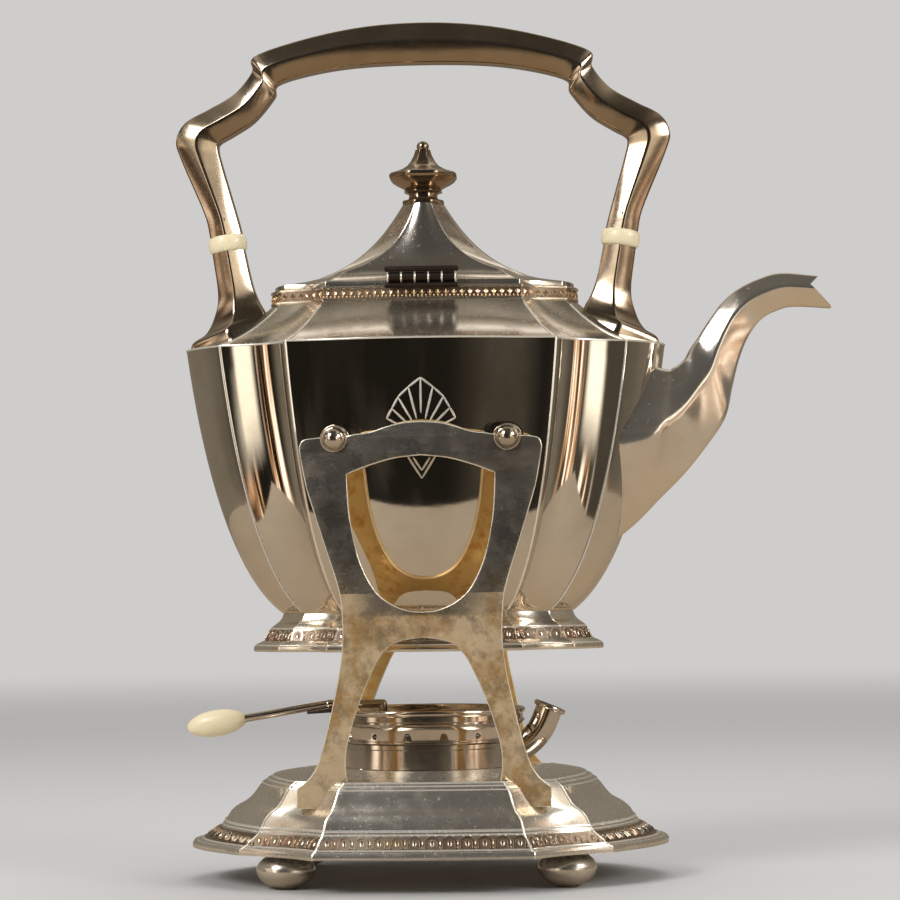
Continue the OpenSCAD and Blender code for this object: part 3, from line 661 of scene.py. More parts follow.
def make_finishes(colours):
    """Every finish, by the name the pieces ask for it."""
    plate, film = colours.silver[:], colours.film[:]
    dark, gilt = colours.dark[:], colours.gilt[:]
    FINISH.update(
        # The colours under on the body, the handle and the spout are painted reflections of the
        # floor on their faces turned down.
        body=silver("silver_body", plate, film, amount=0.3, gloss=0.03, grain=0.3, fleck=0.2,
                    under=(0.80, 0.69, 0.54)),
        shoulder=silver("silver_shoulder", plate, film, amount=0.5, gloss=0.15, grain=0.8,
                        fleck=0.7, dull=0.04),
        lid=silver("silver_lid", plate, film, grain=0.8, fleck=0.8, dull=0.06),
        handle=silver("silver_handle", (0.53, 0.44, 0.34), (0.26, 0.19, 0.12), amount=0.7,
                      gloss=0.1, grain=0.8, fleck=0.5, dull=0.03, under=(0.36, 0.24, 0.13)),
        spout=silver("silver_spout", plate, film, amount=0.5, gloss=0.1, grain=0.8, fleck=0.8,
                     dull=0.1, under=(0.85, 0.70, 0.50)),
        foot=silver("silver_foot", (0.86, 0.8, 0.7), (0.7, 0.6, 0.45), amount=0.5, gloss=0.16,
                    grain=0.8, fleck=0.5, dull=0.05),
        base=silver("silver_base", plate, (0.52, 0.44, 0.33), amount=0.4, gloss=0.16, grain=0.8,
                    fleck=0.9, dull=0.12),
        burner=silver("silver_burner", (0.70, 0.62, 0.53), film, gloss=0.08, grain=0.6,
                      fleck=0.5, dull=0.03),
        frame=silver("silver_frame", dark, (0.30, 0.26, 0.21), amount=0.8, gloss=0.2, grain=1.0,
                     fleck=0.5, dull=0.06, gilt=gilt),
        ornament=chased("silver_ornament", plate, colours.recess[:]),
        mouth=chased("silver_mouth", (0.98, 0.76, 0.50), (0.40, 0.25, 0.13)),
        # Painted highlight: the raised lines, hoops and knuckle rings get a pale, partly diffuse
        # silver so that they read bright.
        line=silver("silver_line_painted_highlight", (0.98, 0.94, 0.86), plate, amount=0.3, fleck=0.2, dull=0.35),
        ground=silver("silver_ground", (0.3, 0.24, 0.18), colours.recess[:], gloss=0.3, fleck=0.1),
        # Painted shade: near-black silver stands for the shade in the hinge's recesses, on its
        # leaves and on the bars above and below it.
        black=silver("silver_black_painted_shade", (0.09, 0.07, 0.055), (0.04, 0.03, 0.025), gloss=0.3,
                     fleck=0.2),
        cut=silver("silver_cut", (0.95, 0.93, 0.88), plate, amount=0.2, gloss=0.4, fleck=0.2),
        brass=silver("gilt_brass", gilt, (0.5, 0.34, 0.16), gloss=0.25, grain=0.8, fleck=0.2),
        ivory=ivory("ivory", colours.ivory[:]),
        cotton=woven("cotton", colours.cotton[:]),
    )


class MakerOperator(Operator):
    """Common settings of the operators."""

    bl_options = {"REGISTER", "UNDO"}

    @property
    def sizes(self):
        return bpy.context.scene.kettle_sizes

    def execute(self, context):
        self.make()
        return {"FINISHED"}


# ---- Kettle ----

# The strainer at the spout: rows, columns, spacing, radius of a hole and height of its middle
STRAINER = (4, 3, 8 * MM, 1.7 * MM, 168 * MM)
FOOT_SPREAD, FOOT_RISE = FOOT_L - NECK.size[0], NECK_Z - FOOT_Z


def body_z(t):
    """Height of the body at the share t of its side, from its neck up."""
    h = EDGE_Z - NECK_Z
    return bezier([[NECK_Z], [NECK_Z + h * 0.13], [EDGE_Z - h * 0.47], [EDGE_Z]], t)[0]


def body_s(t):
    """Share of the edge's outline that the body has, from its neck up."""
    return bezier([[NECK_SHARE], [mix(NECK_SHARE, 1, 0.5)], [mix(NECK_SHARE, 1, 0.825)], [1.0]],
                  t)[0]


# A level is an outline and its height.

def body_level(t):
    return EDGE.scaled(body_s(t)), body_z(t)


def shoulder_level(t):
    rise = bezier([[0], [0.14], [0.42], [1]], t)[0]
    return EDGE.mixed(MOUTH, t), mix(EDGE_Z, BAND_LOW, rise)


def foot_level(out, down):
    return NECK.inset(-FOOT_SPREAD * out), NECK_Z - FOOT_RISE * down


def body_ring(t, d, arris):
    outline, z = body_level(t)
    return outline.inset(d).ring(z, arris)


def body_form(grow, arris):
    """The body's outer form, for cutting what is fitted to it."""
    return loft("body_form", [body_ring(t, -grow, arris) for t in even(24)])


def shoulder_ring(t, d, arris):
    outline, z = shoulder_level(t)
    return outline.inset(d).ring(z - (0 if t in (0, 1) else d * 0.8), arris)


class KETTLE_OT_body(MakerOperator):
    """Raised body of the kettle with its twelve panels and the strainer at the spout"""

    bl_idname = "kettle.body"
    bl_label = "Kettle body"

    def make(self):
        s = self.sizes
        steps = even(s.body_steps)
        outer = [body_ring(t, 0, s.arris) for t in steps]
        inner = [body_ring(t, WALL, s.arris) for t in steps[:0:-1]]
        floor = [NECK.inset(WALL * 2).ring(NECK_Z + WALL, s.arris)]
        piece = loft("body_shell", outer + inner + floor, sharp=50)
        rows, columns, pitch, radius, middle = STRAINER
        holes = []
        for row in range(rows):
            for column in range(columns):
                spot = (BODY_L * 0.6, (column - (columns - 1) / 2) * pitch,
                        middle + (row - (rows - 1) / 2) * pitch)
                place = Matrix.Translation(spot) @ turned(math.pi / 2, "Y")
                holes.append(lathe("hole", [(radius, 0), (radius, BODY_L * 0.5)], place, 20))
        carve(piece, [join("holes", holes)], sharp=50)
        finish(piece, "kettle", "silver", "body", "kettle_body")


class KETTLE_OT_foot(MakerOperator):
    """Spreading foot under the body"""

    bl_idname = "kettle.foot"
    bl_label = "Kettle foot"
    # Shares of the way out and down
    PROFILE = [(0, 0), (0.06, 0.12), (0.14, 0.2), (0.2, 0.24), (0.4, 0.36), (0.42, 0.4),
               (0.5, 0.5), (0.62, 0.7), (0.9, 0.8), (0.93, 0.84), (0.99, 0.86), (1, 0.9),
               (1, 0.97), (0.98, 1)]

    def make(self):
        def ring(out, down, d):
            outline, z = foot_level(out, down)
            return outline.inset(d).ring(z, self.sizes.arris)

        outer = [ring(out, down, 0) for out, down in self.PROFILE[::-1]]
        inner = [ring(out, down, FOOT_WALL) for out, down in self.PROFILE]
        piece = loft("foot_shell", outer + inner, closed=True)
        finish(piece, "kettle", "silver", "foot", "kettle_foot")


class KETTLE_OT_shoulder(MakerOperator):
    """Hollow-curved shoulder between the body's edge and the mouth"""

    bl_idname = "kettle.shoulder"
    bl_label = "Shoulder"

    def make(self):
        steps, arris = even(20), self.sizes.arris
        rings = [shoulder_ring(t, 0, arris) for t in steps]
        rings += [shoulder_ring(t, SHOULDER_WALL, arris) for t in steps[::-1]]
        piece = loft("shoulder_plate", rings, closed=True)
        finish(piece, "kettle", "silver", "shoulder", "kettle_shoulder")


class KETTLE_OT_mouth(MakerOperator):
    """Moulded band round the mouth"""

    bl_idname = "kettle.mouth"
    bl_label = "Mouth band"
    # Distance out in millimetres and share of the height
    PROFILE = [(0.35, 0), (0.6, 0.03), (0.6, 0.13), (0.35, 0.16), (0, 0.2), (0, 0.8),
               (0.35, 0.84), (0.6, 0.87), (0.6, 0.97), (0.35, 1)]

    def make(self):
        rise = BAND_TOP - BAND_LOW
        outer = [MOUTH.inset(-out * MM).ring(BAND_LOW + rise * up, self.sizes.arris)
                 for out, up in self.PROFILE]
        inner = [MOUTH.inset(BAND_WALL).ring(z, self.sizes.arris) for z in (BAND_TOP, BAND_LOW)]
        piece = loft("mouth_moulding", outer + inner, closed=True)
        finish(piece, "kettle", "silver", "foot", "mouth_band")


# Upper line, lower line and half width, in millimetres from the body's end and top edge
SPOUT_PATH = [
    (-16.5, -5, -28.6, -83.7, 21), (-0.6, -10.2, -13.5, -72, 19.5), (3.4, -9.3, -3.4, -62, 17),
    (7.4, -6.3, 6.7, -52, 14.5), (10.1, -1.6, 15.8, -41, 12.3), (13, 2.4, 23.5, -29.6, 10.4),
    (15.8, 6.8, 26.6, -17.2, 9.2), (19, 11.3, 29.5, -6.2, 8.4), (23.1, 16.5, 33.5, 3.1, 7.7),
    (29.4, 21.8, 39.2, 10.2, 7.1), (37.9, 25.9, 45.4, 13.4, 6.6), (46.9, 28, 51.8, 14.8, 6.2),
    (61.9, 26.6, 66.5, 13.9, 5.8),
]


class KETTLE_OT_spout(MakerOperator):
    """Swan-neck spout of eight faces with a cut lip"""

    bl_idname = "kettle.spout"
    bl_label = "Spout"

    def sections(self, d):
        rings = []
        for row in smooth_path(SPOUT_PATH, 6):
            upper = np.array([BODY_L, EDGE_Z]) + row[0:2] * MM
            lower = np.array([BODY_L, EDGE_Z]) + row[2:4] * MM
            k = d / np.linalg.norm(upper - lower)
            rings.append(ridged(mix(upper, lower, k), mix(lower, upper, k), row[4] * MM - d,
                                0.12, 0.42, 0.7))
        return rings

    def make(self):
        outer, inner = self.sections(0), self.sections(SPOUT_WALL)
        piece = loft("spout_neck", outer + inner[::-1], closed=True, sharp=50)
        carve(piece, [body_form(SEAT_GAP, self.sizes.arris), self.notch()], sharp=50)
        finish(piece, "kettle", "silver", "spout", "spout")

    def notch(self):
        """The wedge that leaves the lip's two points."""
        wedge = [(58, 23.1), (70, 35.1), (78, 26.1), (70, 11.1)]
        points = [(BODY_L + x * MM, y * MM, EDGE_Z + z * MM) for y in (-10, 10) for x, z in wedge]
        faces = [(0, 1, 2, 3), (7, 6, 5, 4)]
        faces += [(i, i + 4, (i + 1) % 4 + 4, (i + 1) % 4) for i in range(4)]
        return mesh_object("notch", points, faces)


# Outer and inner line of the grip, in millimetres from its top, from the middle rightwards
GRIP_PATH = [
    (0, 0, 0, -16.4), (33, -2.8, 32, -17.8), (66, -11.8, 56.8, -23.2), (68.6, -19.2, 59.6, -29),
    (75.6, -27.8, 67.6, -38.6), (86.2, -34, 76.4, -44.4), (95.6, -39.2, 81.6, -47.4),
    (99.4, -46.4, 82.4, -50), (97.4, -54.4, 81, -56.2), (88.2, -76.4, 75.4, -75.8),
    (85.9, -86.2, 73.1, -84.4),
]
# Outer line, inner line and half width of a socket, in millimetres from the top edge
SOCKET_PATH = [
    (93.5, -4, 56, 6, 15), (93, 2.4, 62.6, 12.6, 14), (87.8, 6.4, 64.4, 16.2, 11),
    (84.6, 12.6, 67, 21, 8.6), (82.8, 22, 69.4, 28, 7.4),
]
INSULATOR_T = 6.6 * MM
LEG = np.array(GRIP_PATH[-1]) * MM
LEG_LEAN = math.atan2(LEG[1] - LEG[3], LEG[0] - LEG[2])
LEG_MID = np.array([(LEG[0] + LEG[2]) / 2, GRIP_TOP + (LEG[1] + LEG[3]) / 2])



class KETTLE_OT_handle(MakerOperator):
    """Fixed bail, its two insulators and the sockets on the shoulder"""

    bl_idname = "kettle.handle"
    bl_label = "Handle"

    def make(self):
        right = [np.array(row) * MM + [0, GRIP_TOP, 0, GRIP_TOP] for row in GRIP_PATH]
        left = [row * [-1, 1, -1, 1] for row in right[:0:-1]]
        path = smooth_path(left + right, 6)
        grip = loft("bail", [ridged(r[:2], r[2:], GRIP_W) for r in path], sharp=50)
        finish(grip, "kettle", "silver", "handle", "handle_grip")
        for side, word in ((1, "right"), (-1, "left")):
            self.insulator(side, word)
            self.socket(side, word)

    def insulator(self, side, word):
        """A flattened ivory ring with softened edges between grip and socket."""
        half_l, half_w, t, soft = 7.8 * MM, GRIP_W + 0.8 * MM, INSULATOR_T, 0.16
        edge = arc((1 - soft, t / 2), (soft, t / 2), -math.pi / 2, math.pi / 2, 8)
        profile = [(0, 0), *edge, (0, t)]
        place = (Matrix.Diagonal((side, 1, 1, 1)) @ Matrix.Translation((LEG_MID[0], 0, LEG_MID[1]))
                 @ turned(-LEG_LEAN, "Y") @ raised(-t) @ Matrix.Diagonal((half_l, half_w, 1, 1)))
        piece = lathe("heat_break_" + word, profile, place, 72)
        settle(piece)
        finish(piece, "kettle", "ivory", "ivory", "insulator_" + word)

    def socket(self, side, word):
        drop = INSULATOR_T * np.array([math.sin(LEG_LEAN), -math.cos(LEG_LEAN)])
        rows = [np.array(row) * MM + [0, EDGE_Z, 0, EDGE_Z, 0] for row in SOCKET_PATH]
        top = np.concatenate([LEG[:2] + [0, GRIP_TOP] + drop, LEG[2:] + [0, GRIP_TOP] + drop,
                              [GRIP_W]])
        path = smooth_path(rows + [top], 6)
        rings = [ridged(r[0:2] * [side, 1], r[2:4] * [side, 1], r[4], 0.08) for r in path]
        piece = loft("socket_" + word, rings, sharp=50)
        form = loft("shoulder_form", [shoulder_ring(t, -SEAT_GAP, self.sizes.arris)
                                      for t in even(12)])
        # Nothing of a socket reaches below the body's edge.
        under = block("under", (-0.2, -0.1, EDGE_Z - 0.04), (0.2, 0.1, EDGE_Z + 0.5 * MM))
        carve(piece, [form, under], sharp=50)
        finish(piece, "kettle", "silver", "handle", "handle_socket_" + word)


# ---- Lid ----

LID_OUTLINE = MOUTH.inset(1.2 * MM)
# Share of the way in to the dome's foot, and height in millimetres
LID_RIM = [(0, 0.0), (0, 1.5), (0.02, 1.9), (0.25, 2.5), (0.5, 3.3), (0.78, 4.6), (1, 6.5)]


def lid_rings(d, arris):
    rings = [LID_OUTLINE.mixed(DOME, share).inset(d).ring(LID_Z + z * MM - d * 0.7, arris)
             for share, z in LID_RIM[1:-1]]
    foot = LID_Z + LID_RIM[-1][1] * MM
    for t in even(30):
        inward, rise = bezier([(0, 0), (0.45, 0.2), (0.72, 0.5), (1, 1)], t)
        rings.append(DOME.mixed(COLLAR, inward).inset(d).ring(mix(foot, LID_TOP, rise) - d * 0.7,
                                                              arris))
    return rings


class KETTLE_OT_lid(MakerOperator):
    """Bell-shaped lid with its bezel"""

    bl_idname = "kettle.lid"
    bl_label = "Lid"

    def make(self):
        arris = self.sizes.arris
        inner_edge = LID_OUTLINE.inset(LID_WALL * 3).ring(LID_Z, arris)
        piece = loft("lid_shell", [LID_OUTLINE.ring(LID_Z, arris)] + lid_rings(0, arris)
                     + lid_rings(LID_WALL, arris)[::-1] + [inner_edge], closed=True)
        lo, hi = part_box("lid_hinge_leaf")
        gap = 0.3 * MM
        notch = block("leaf_notch", (lo.x - gap, lo.y - 0.01, LID_Z - MM), (hi.x + gap, hi.y, 0.25))
        carve(piece, [notch])
        finish(piece, "lid", "silver", "lid", "lid_dome")
        coat(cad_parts["lid_bezel"], "lid")


class KETTLE_OT_finial(MakerOperator):
    """Urn finial of eight faces"""

    bl_idname = "kettle.finial"
    bl_label = "Finial"
    # Share of the widest radius and of the finial's height
    PROFILE = [
        (0.6, 0), (0.62, 0.03), (0.6, 0.06), (0.45, 0.08), (0.42, 0.11), (0.42, 0.17),
        (0.5, 0.19), (0.56, 0.2), (0.55, 0.22), (0.52, 0.24), (0.62, 0.275), (0.78, 0.32),
        (0.92, 0.37), (0.99, 0.42), (1, 0.45), (0.99, 0.47), (0.94, 0.49), (0.74, 0.525),
        (0.6, 0.56), (0.46, 0.61), (0.36, 0.68), (0.27, 0.77), (0.22, 0.86)]

    def make(self):
        radius, height = high("lid_finial").x * 1.06 / math.cos(math.pi / 8), 26 * MM
        rings = []
        for share, up in self.PROFILE:
            corners = [(x, y, LID_TOP + height * up) for x, y in
                       arc((0, 0), [radius * share] * 2, math.pi / 8, math.pi * 15 / 8, 7)]
            rings.append(rounded(corners, 0.14))
        urn = loft("urn", rings, sharp=60)
        neck = height * self.PROFILE[-1][1]
        ball = arc((0, neck + 1.4 * MM), (2.5 * MM, 2.3 * MM), -math.pi / 2, math.pi / 2, 12)
        top = lathe("ball", [(0, neck - MM), *ball, (0, neck + 3.7 * MM)], raised(LID_TOP), 32)
        stem = lathe("stem", [(2 * MM, -8 * MM), (2 * MM, MM)], raised(LID_TOP), 32)
        piece = join("finial_urn", [urn, top, stem], 60)
        finish(piece, "lid", "silver", "handle", "lid_finial")


# ---- Studs ----

class KETTLE_OT_studs(MakerOperator):
    """Round-nosed studs that hang the kettle in the frames"""

    bl_idname = "kettle.studs"
    bl_label = "Studs"
    # Radius and distance from the inner end, in millimetres
    FLANGE = [(0, 0), (5.6, 0), (5.8, 0.2), (5.8, 1.5), (5.5, 1.9), (4.6, 2.5), (4.4, 2.8)]

    def make(self):
        for node, body, side in (("rest_studs", "kettle", -1), ("pivot_studs", "pivot", 1)):
            start = self.inner_end(node)
            reach = abs(low("front_frame").y) - start
            nose = high(node).y - start - reach
            profile = [(r * MM, z * MM) for r, z in self.FLANGE]
            profile += arc((0, reach), (profile[-1][0], nose), 0, math.pi / 2, 12)
            pair = []
            for face in (-1, 1):
                place = (Matrix.Translation((side * STUD_X, face * start, STUD_Z))
                         @ turned(-face * math.pi / 2, "X"))
                pair.append(lathe("stud", profile, place, 48))
            piece = join(node.replace("studs", "stud_pair"), pair, 40)
            finish(piece, body, "silver", "burner", node)

    @staticmethod
    def inner_end(node):
        """Distance from the middle to a stud's inner end."""
        return min(abs(v.co.y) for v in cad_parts[node].data.vertices)


# ---- Stand ----

# Share of the way in and share of the way up, from the rim to the flat top
BASE_PROFILE = [
    (0, 0), (0.004, 0.03), (0, 0.055), (0.012, 0.065), (0.02, 0.09), (0.035, 0.1), (0.05, 0.085),
    (0.14, 0.13), (0.36, 0.3), (0.37, 0.325), (0.385, 0.335), (0.4, 0.36), (0.42, 0.4),
    (0.47, 0.49), (0.53, 0.55), (0.58, 0.585), (0.64, 0.62), (0.70, 0.67), (0.76, 0.75),
    (0.81, 0.83), (0.86, 0.9), (0.92, 0.95), (1, 1),
]


def base_level(inward, up):
    return BASE.mixed(BASE_TOP, inward), mix(RIM_Z, BASE_Z, up)


def base_ring(inward, up, d, arris):
    outline, z = base_level(inward, up)
    return outline.inset(d).ring(z - (0 if up == 0 else d), arris)


class KETTLE_OT_base(MakerOperator):
    """Stepped, hollow base of the stand"""

    bl_idname = "kettle.base"
    bl_label = "Stand base"

    def make(self):
        arris = self.sizes.arris * 1.4
        outer = [base_ring(*p, 0, arris) for p in BASE_PROFILE]
        # The underside leaves out the steps of the rim.
        inner = [base_ring(*p, BASE_WALL, arris) for p in BASE_PROFILE[::-1]
                 if p[1] in (0, 1) or p[0] > 0.1]
        piece = loft("base_shell", inner + outer)
        finish(piece, "stand", "silver", "base", "stand_base")


class KETTLE_OT_feet(MakerOperator):
    """Four ball feet on short stems"""

    bl_idname = "kettle.feet"
    bl_label = "Ball feet"

    def make(self):
        corner, ball_h, ball_r, stem = high("ball_feet"), 14 * MM, 11.3 * MM, 3 * MM
        x, y, top = corner.x - ball_r, corner.y - ball_r, corner.z - SEAT_GAP
        cap = math.radians(64)
        ball = arc((0, ball_h / 2), (ball_r, ball_h / 2), -cap, cap, 20)
        profile = [(0, 0), (ball_r * 0.35, 0), *ball, (3.4 * MM, ball_h),
                   (stem, ball_h + 0.6 * MM), (stem, top), (0, top)]
        feet = [lathe("foot", profile, Matrix.Translation((sx * x, sy * y, 0)))
                for sx in (-1, 1) for sy in (-1, 1)]
        piece = join("ball_feet_set", feet, 40)
        finish(piece, "stand", "silver", "base", "ball_feet")


# Right half of a frame, in millimetres from the middle of its top
FRAME_HALF = [
    (0, 0), (7, -0.5), (13, -1.9), (19, -3.9), (25.2, -4.7),
    (40, -5.9), (44.6, -6.6), (46.1, -9.2), (45.9, -12.1), (43.6, -24.7), (38.4, -41.5),
    (32.4, -60.8), (30.6, -70.6), (30.5, -87.2), (34.2, -107.2), (38.8, -125.5),
    (42.6, -133.6), (48, -138.5), (48, -146),
]
ARCH_HALF = [(27, -146), (29.6, -128), (26, -112), (20.6, -98), (15.6, -88.4), (10, -83.8),
             (0, -81.9)]
WINDOW_HALF = [
    (0, -12.9), (10, -14), (20, -16.8), (28.1, -19.9), (27, -36.4), (24, -51), (18.8, -62.6),
    (13, -68.4), (6, -71.6), (0, -72.3),
]
NOTCH_R = 4.7


class KETTLE_OT_frames(MakerOperator):
    """Two open frames with notches for the studs"""

    bl_idname = "kettle.frames"
    bl_label = "Frames"
    BEVEL = 0.5 * MM

    def edge(self):
        """The outer line of the right half, with the notch cut in at its top."""
        top = smooth_path(FRAME_HALF[:5], 4)
        ear = smooth_path(FRAME_HALF[5:18], 4) + [np.array(FRAME_HALF[18])]
        x, z = STUD_X / MM, (STUD_Z - FRAME_TOP) / MM
        notch = [(x - NOTCH_R, -5.3)]
        notch += arc((x, z), (NOTCH_R, NOTCH_R), math.pi, 2 * math.pi, 18)
        notch += [(x + NOTCH_R, -5.75)]
        return [tuple(p) for p in top] + notch + [tuple(p) for p in ear]

    def drawn(self, lines):
        """The mesh of a flat plate with bevelled edges inside these lines."""
        curve = bpy.data.curves.new("frame_curve", "CURVE")
        curve.dimensions = "2D"
        curve.fill_mode = "BOTH"
        curve.extrude = FRAME_T / 2 - self.BEVEL
        curve.bevel_depth = self.BEVEL
        curve.bevel_resolution = 2
        curve.offset = -self.BEVEL
        for points in lines:
            row = curve.splines.new("POLY")
            row.points.add(len(points) - 1)
            for point, (x, z) in zip(row.points, points):
                point.co = (x * MM, z * MM, 0, 1)
            row.use_cyclic_u = True
        drawing = placed("frame_drawn", curve)
        mesh = evaluated(drawing)
        bpy.data.objects.remove(drawing)
        return mesh

    def make(self):
        edge = self.edge() + [tuple(p) for p in smooth_path(ARCH_HALF, 4)]
        window = [WINDOW_HALF[0]]
        for half in (WINDOW_HALF[:4], WINDOW_HALF[3:]):
            window += [tuple(p) for p in smooth_path(half, 4)[1:]]
        lines = [half + [(-x, z) for x, z in half[::-1] if x > 0] for half in (edge, window)]
        form = [base_ring(inward, up, -SEAT_GAP, MM) for inward, up in BASE_PROFILE
                if inward >= 0.36]
        for word in ("front", "back"):
            mesh = self.drawn(lines)
            middle = (low(word + "_frame").y + high(word + "_frame").y) / 2
            mesh.transform(Matrix.Translation((0, middle, FRAME_TOP)) @ turned(math.pi / 2, "X"))
            piece = placed(word + "_plate", mesh)
            settle(piece, 30)
            base = loft("base_form", form)
            under = block("under", (-0.1, -0.1, 0), (0.1, 0.1, mix(RIM_Z, BASE_Z, 0.3)))
            carve(piece, [base, under], sharp=30)
            finish(piece, "stand", "dark_silver", "frame", word + "_frame")


# ---- Burner ----

class KETTLE_OT_burner(MakerOperator):
    """Spirit burner: drum, pierced gallery, filler, wick tube and wick"""

    bl_idname = "kettle.burner"
    bl_label = "Burner"
    VENTS, VENT_R = 16, 1.2 * MM

    def make(self):
        self.drum()
        self.gallery()
        self.filler()
        for node, name in (("burner_seat", "base"), ("wick_tube", "brass"), ("wick", "cotton")):
            coat(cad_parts[node], name)

    def drum(self):
        lo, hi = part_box("burner_reservoir")
        r, h, well = hi.x, hi.z - lo.z, 6.25 * MM
        waist = r - 0.4 * MM
        profile = [(well, 0), (r - 0.8 * MM, 0), (r, 0.8 * MM), (r, 2.2 * MM),
                   (waist, 2.6 * MM), (waist, h - 2.4 * MM), (r, h - 2 * MM), (r, h - 0.4 * MM),
                   (waist, h), (well, h)]
        piece = lathe("fuel_drum", profile, raised(lo.z), 96, closed=True)
        finish(piece, "burner", "silver", "burner", "burner_reservoir")

    def gallery(self):
        lo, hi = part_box("burner_chimney")
        r, h = hi.x - 0.6 * MM, hi.z - lo.z
        inside = r - BURNER_WALL
        profile = [(inside, 0), (r, 0), (r + 0.3 * MM, 0.3 * MM), (r + 0.3 * MM, 0.9 * MM),
                   (r, 1.2 * MM), (r, h * 0.8), (r + 0.6 * MM, h), (inside, h)]
        piece = lathe("vent_gallery", profile, raised(lo.z), 128, closed=True)
        vents = []
        for i in range(self.VENTS):
            place = (turned(2 * math.pi * (i + 0.5) / self.VENTS, "Z")
                     @ Matrix.Translation((r - 4 * MM, 0, lo.z + h * 0.45))
                     @ turned(math.pi / 2, "Y"))
            vents.append(lathe("vent", [(self.VENT_R, 0), (self.VENT_R, 8 * MM)], place, 20))
        carve(piece, [join("vents", vents)], sharp=35)
        finish(piece, "burner", "silver", "burner", "burner_chimney")

    def filler(self):
        """A bent tube from the drum up to its open lip."""
        mouth = Vector((48.4 * MM, 0, low("burner_reservoir").z + 25.8 * MM))
        lean, slope, bend, straight = math.radians(22.5), math.radians(64), 20 * MM, 7 * MM
        up = Vector((math.sin(lean), 0, math.cos(lean)))
        across = Vector((math.cos(lean), 0, -math.sin(lean)))
        turn_start = mouth - up * straight
        centre = turn_start - across * bend
        path = [(mouth - up * straight * k / 3, up) for k in range(4)]
        for k in range(1, 17):
            a = slope * k / 16
            out = across * math.cos(a) - up * math.sin(a)
            along = across * math.sin(a) + up * math.cos(a)
            path.append((centre + out * bend, along))

        def skin(grow):
            rings = []
            for point, along in path:
                side = Vector((0, 1, 0))
                out = side.cross(along).normalized()
                a = np.arange(40) * 2 * math.pi / 40
                rings.append(np.array([point + (out * math.cos(t) + side * math.sin(t)) * grow
                                       for t in a]))
            return rings

        r, drum_z = 5.3 * MM, low("burner_reservoir").z
        inside = r - BURNER_WALL
        piece = loft("filler_neck", skin(r) + skin(inside)[::-1], closed=True)
        # Clear of the drum up to its top, and of the gallery above it
        drum_r, drum_top, gallery_r = 34.55 * MM, 12.3 * MM, 36.85 * MM
        keep_out = lathe("keep_out", [(drum_r, -0.01), (drum_r, drum_top), (gallery_r, drum_top),
                                      (gallery_r, 0.03)], raised(drum_z), 96)
        carve(piece, [keep_out])
        lip = lathe("lip", [(r - 0.1 * MM, -2 * MM), (r + 0.8 * MM, -1.9 * MM),
                            (r + 1.2 * MM, -1.4 * MM), (r + 1.2 * MM, -0.5 * MM),
                            (r + 0.8 * MM, 0), (inside, 0), (inside, -2 * MM)],
                    Matrix.Translation(mouth) @ turned(lean, "Y"), 48, closed=True)
        piece = join("filler_pipe", [piece, lip], 40)
        finish(piece, "burner", "silver", "burner", "filler_tube")


class KETTLE_OT_regulator(MakerOperator):
    """Turning rim of the burner with its insulated lever"""

    bl_idname = "kettle.regulator"
    bl_label = "Regulator"

    def make(self):
        r, z, h = RIM_R, high("burner_chimney").z + 0.3 * MM, 6 * MM
        spigot = r - 3.5 * MM
        profile = [(spigot - 1.2 * MM, -2 * MM), (spigot, -2 * MM), (spigot, 0), (r - 0.8 * MM, 0),
                   (r - 0.2 * MM, h * 0.14), (r - 0.3 * MM, h * 0.24), (r - 0.9 * MM, h * 0.3),
                   (r - 0.9 * MM, h * 0.6), (r - 0.3 * MM, h * 0.68), (r, h * 0.76), (r, h * 0.9),
                   (r - 0.4 * MM, h), (r - 1.6 * MM, h), (r - 2 * MM, h * 0.8),
                   (spigot - 1.2 * MM, h * 0.3)]
        rim = lathe("rim", profile, raised(z), 128, closed=True)
        arm = block("arm", (0.4 * MM - spigot, -2 * MM, z), (-16.4 * MM, 2 * MM, z + 1.6 * MM))
        piece = join("turning_rim", [rim, arm], 35)
        finish(piece, "regulator", "silver", "burner", "regulator_ring")
        for node in ("lever_rod", "lever_bracket"):
            coat(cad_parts[node], "burner")
        self.knob()

    def knob(self):
        """An egg-shaped grip in line with the lever."""
        lo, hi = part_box("lever_knob")
        droop, half_l, half_d = math.radians(9), 12 * MM, 5.3 * MM
        rows = arc((0, 0), (half_d, half_l), -math.pi / 2, math.pi / 2, 32)
        place = Matrix.Translation((lo + hi) / 2) @ turned(math.pi / 2 - droop, "Y")
        piece = lathe("lever_grip", rows, place, 48)
        finish(piece, "regulator", "ivory", "ivory", "lever_knob")


# ---- Ornament ----

def arch_motif(name, width, height, depth):
    """An egg in an open arch, with a drop between two arches. It stands on the XZ plane,
    X along the band and -Y out of the face."""
    pieces = []
    r = width * 0.37
    rows = [(-r, -height / 2), *arc((0, height / 2 - r), (-r, r), 0, math.pi, 10),
            (r, -height / 2)]
    half = width * 0.062
    rings = []
    for i, (x, z) in enumerate(rows):
        before, after = rows[max(i - 1, 0)], rows[min(i + 1, len(rows) - 1)]
        along = np.subtract(after, before)
        normal = np.array([-along[1], along[0]]) / np.linalg.norm(along)
        rings.append([(x + normal[0] * half * k, -y * depth, z + normal[1] * half * k)
                      for k, y in ((-1.2, -0.3), (-0.7, 0.9), (0.7, 0.9), (1.2, -0.3))])
    pieces.append(loft(name, rings))
    for x, z, w, h in ((0, -height * 0.02, width * 0.17, height * 0.3),
                       (width * 0.5, height * 0.1, width * 0.055, height * 0.3),
                       (width * 0.5, -height * 0.38, width * 0.08, height * 0.1)):
        pieces.append(bead(name, (x, 0, z), (w, depth, h), 10))
    return join(name, pieces)


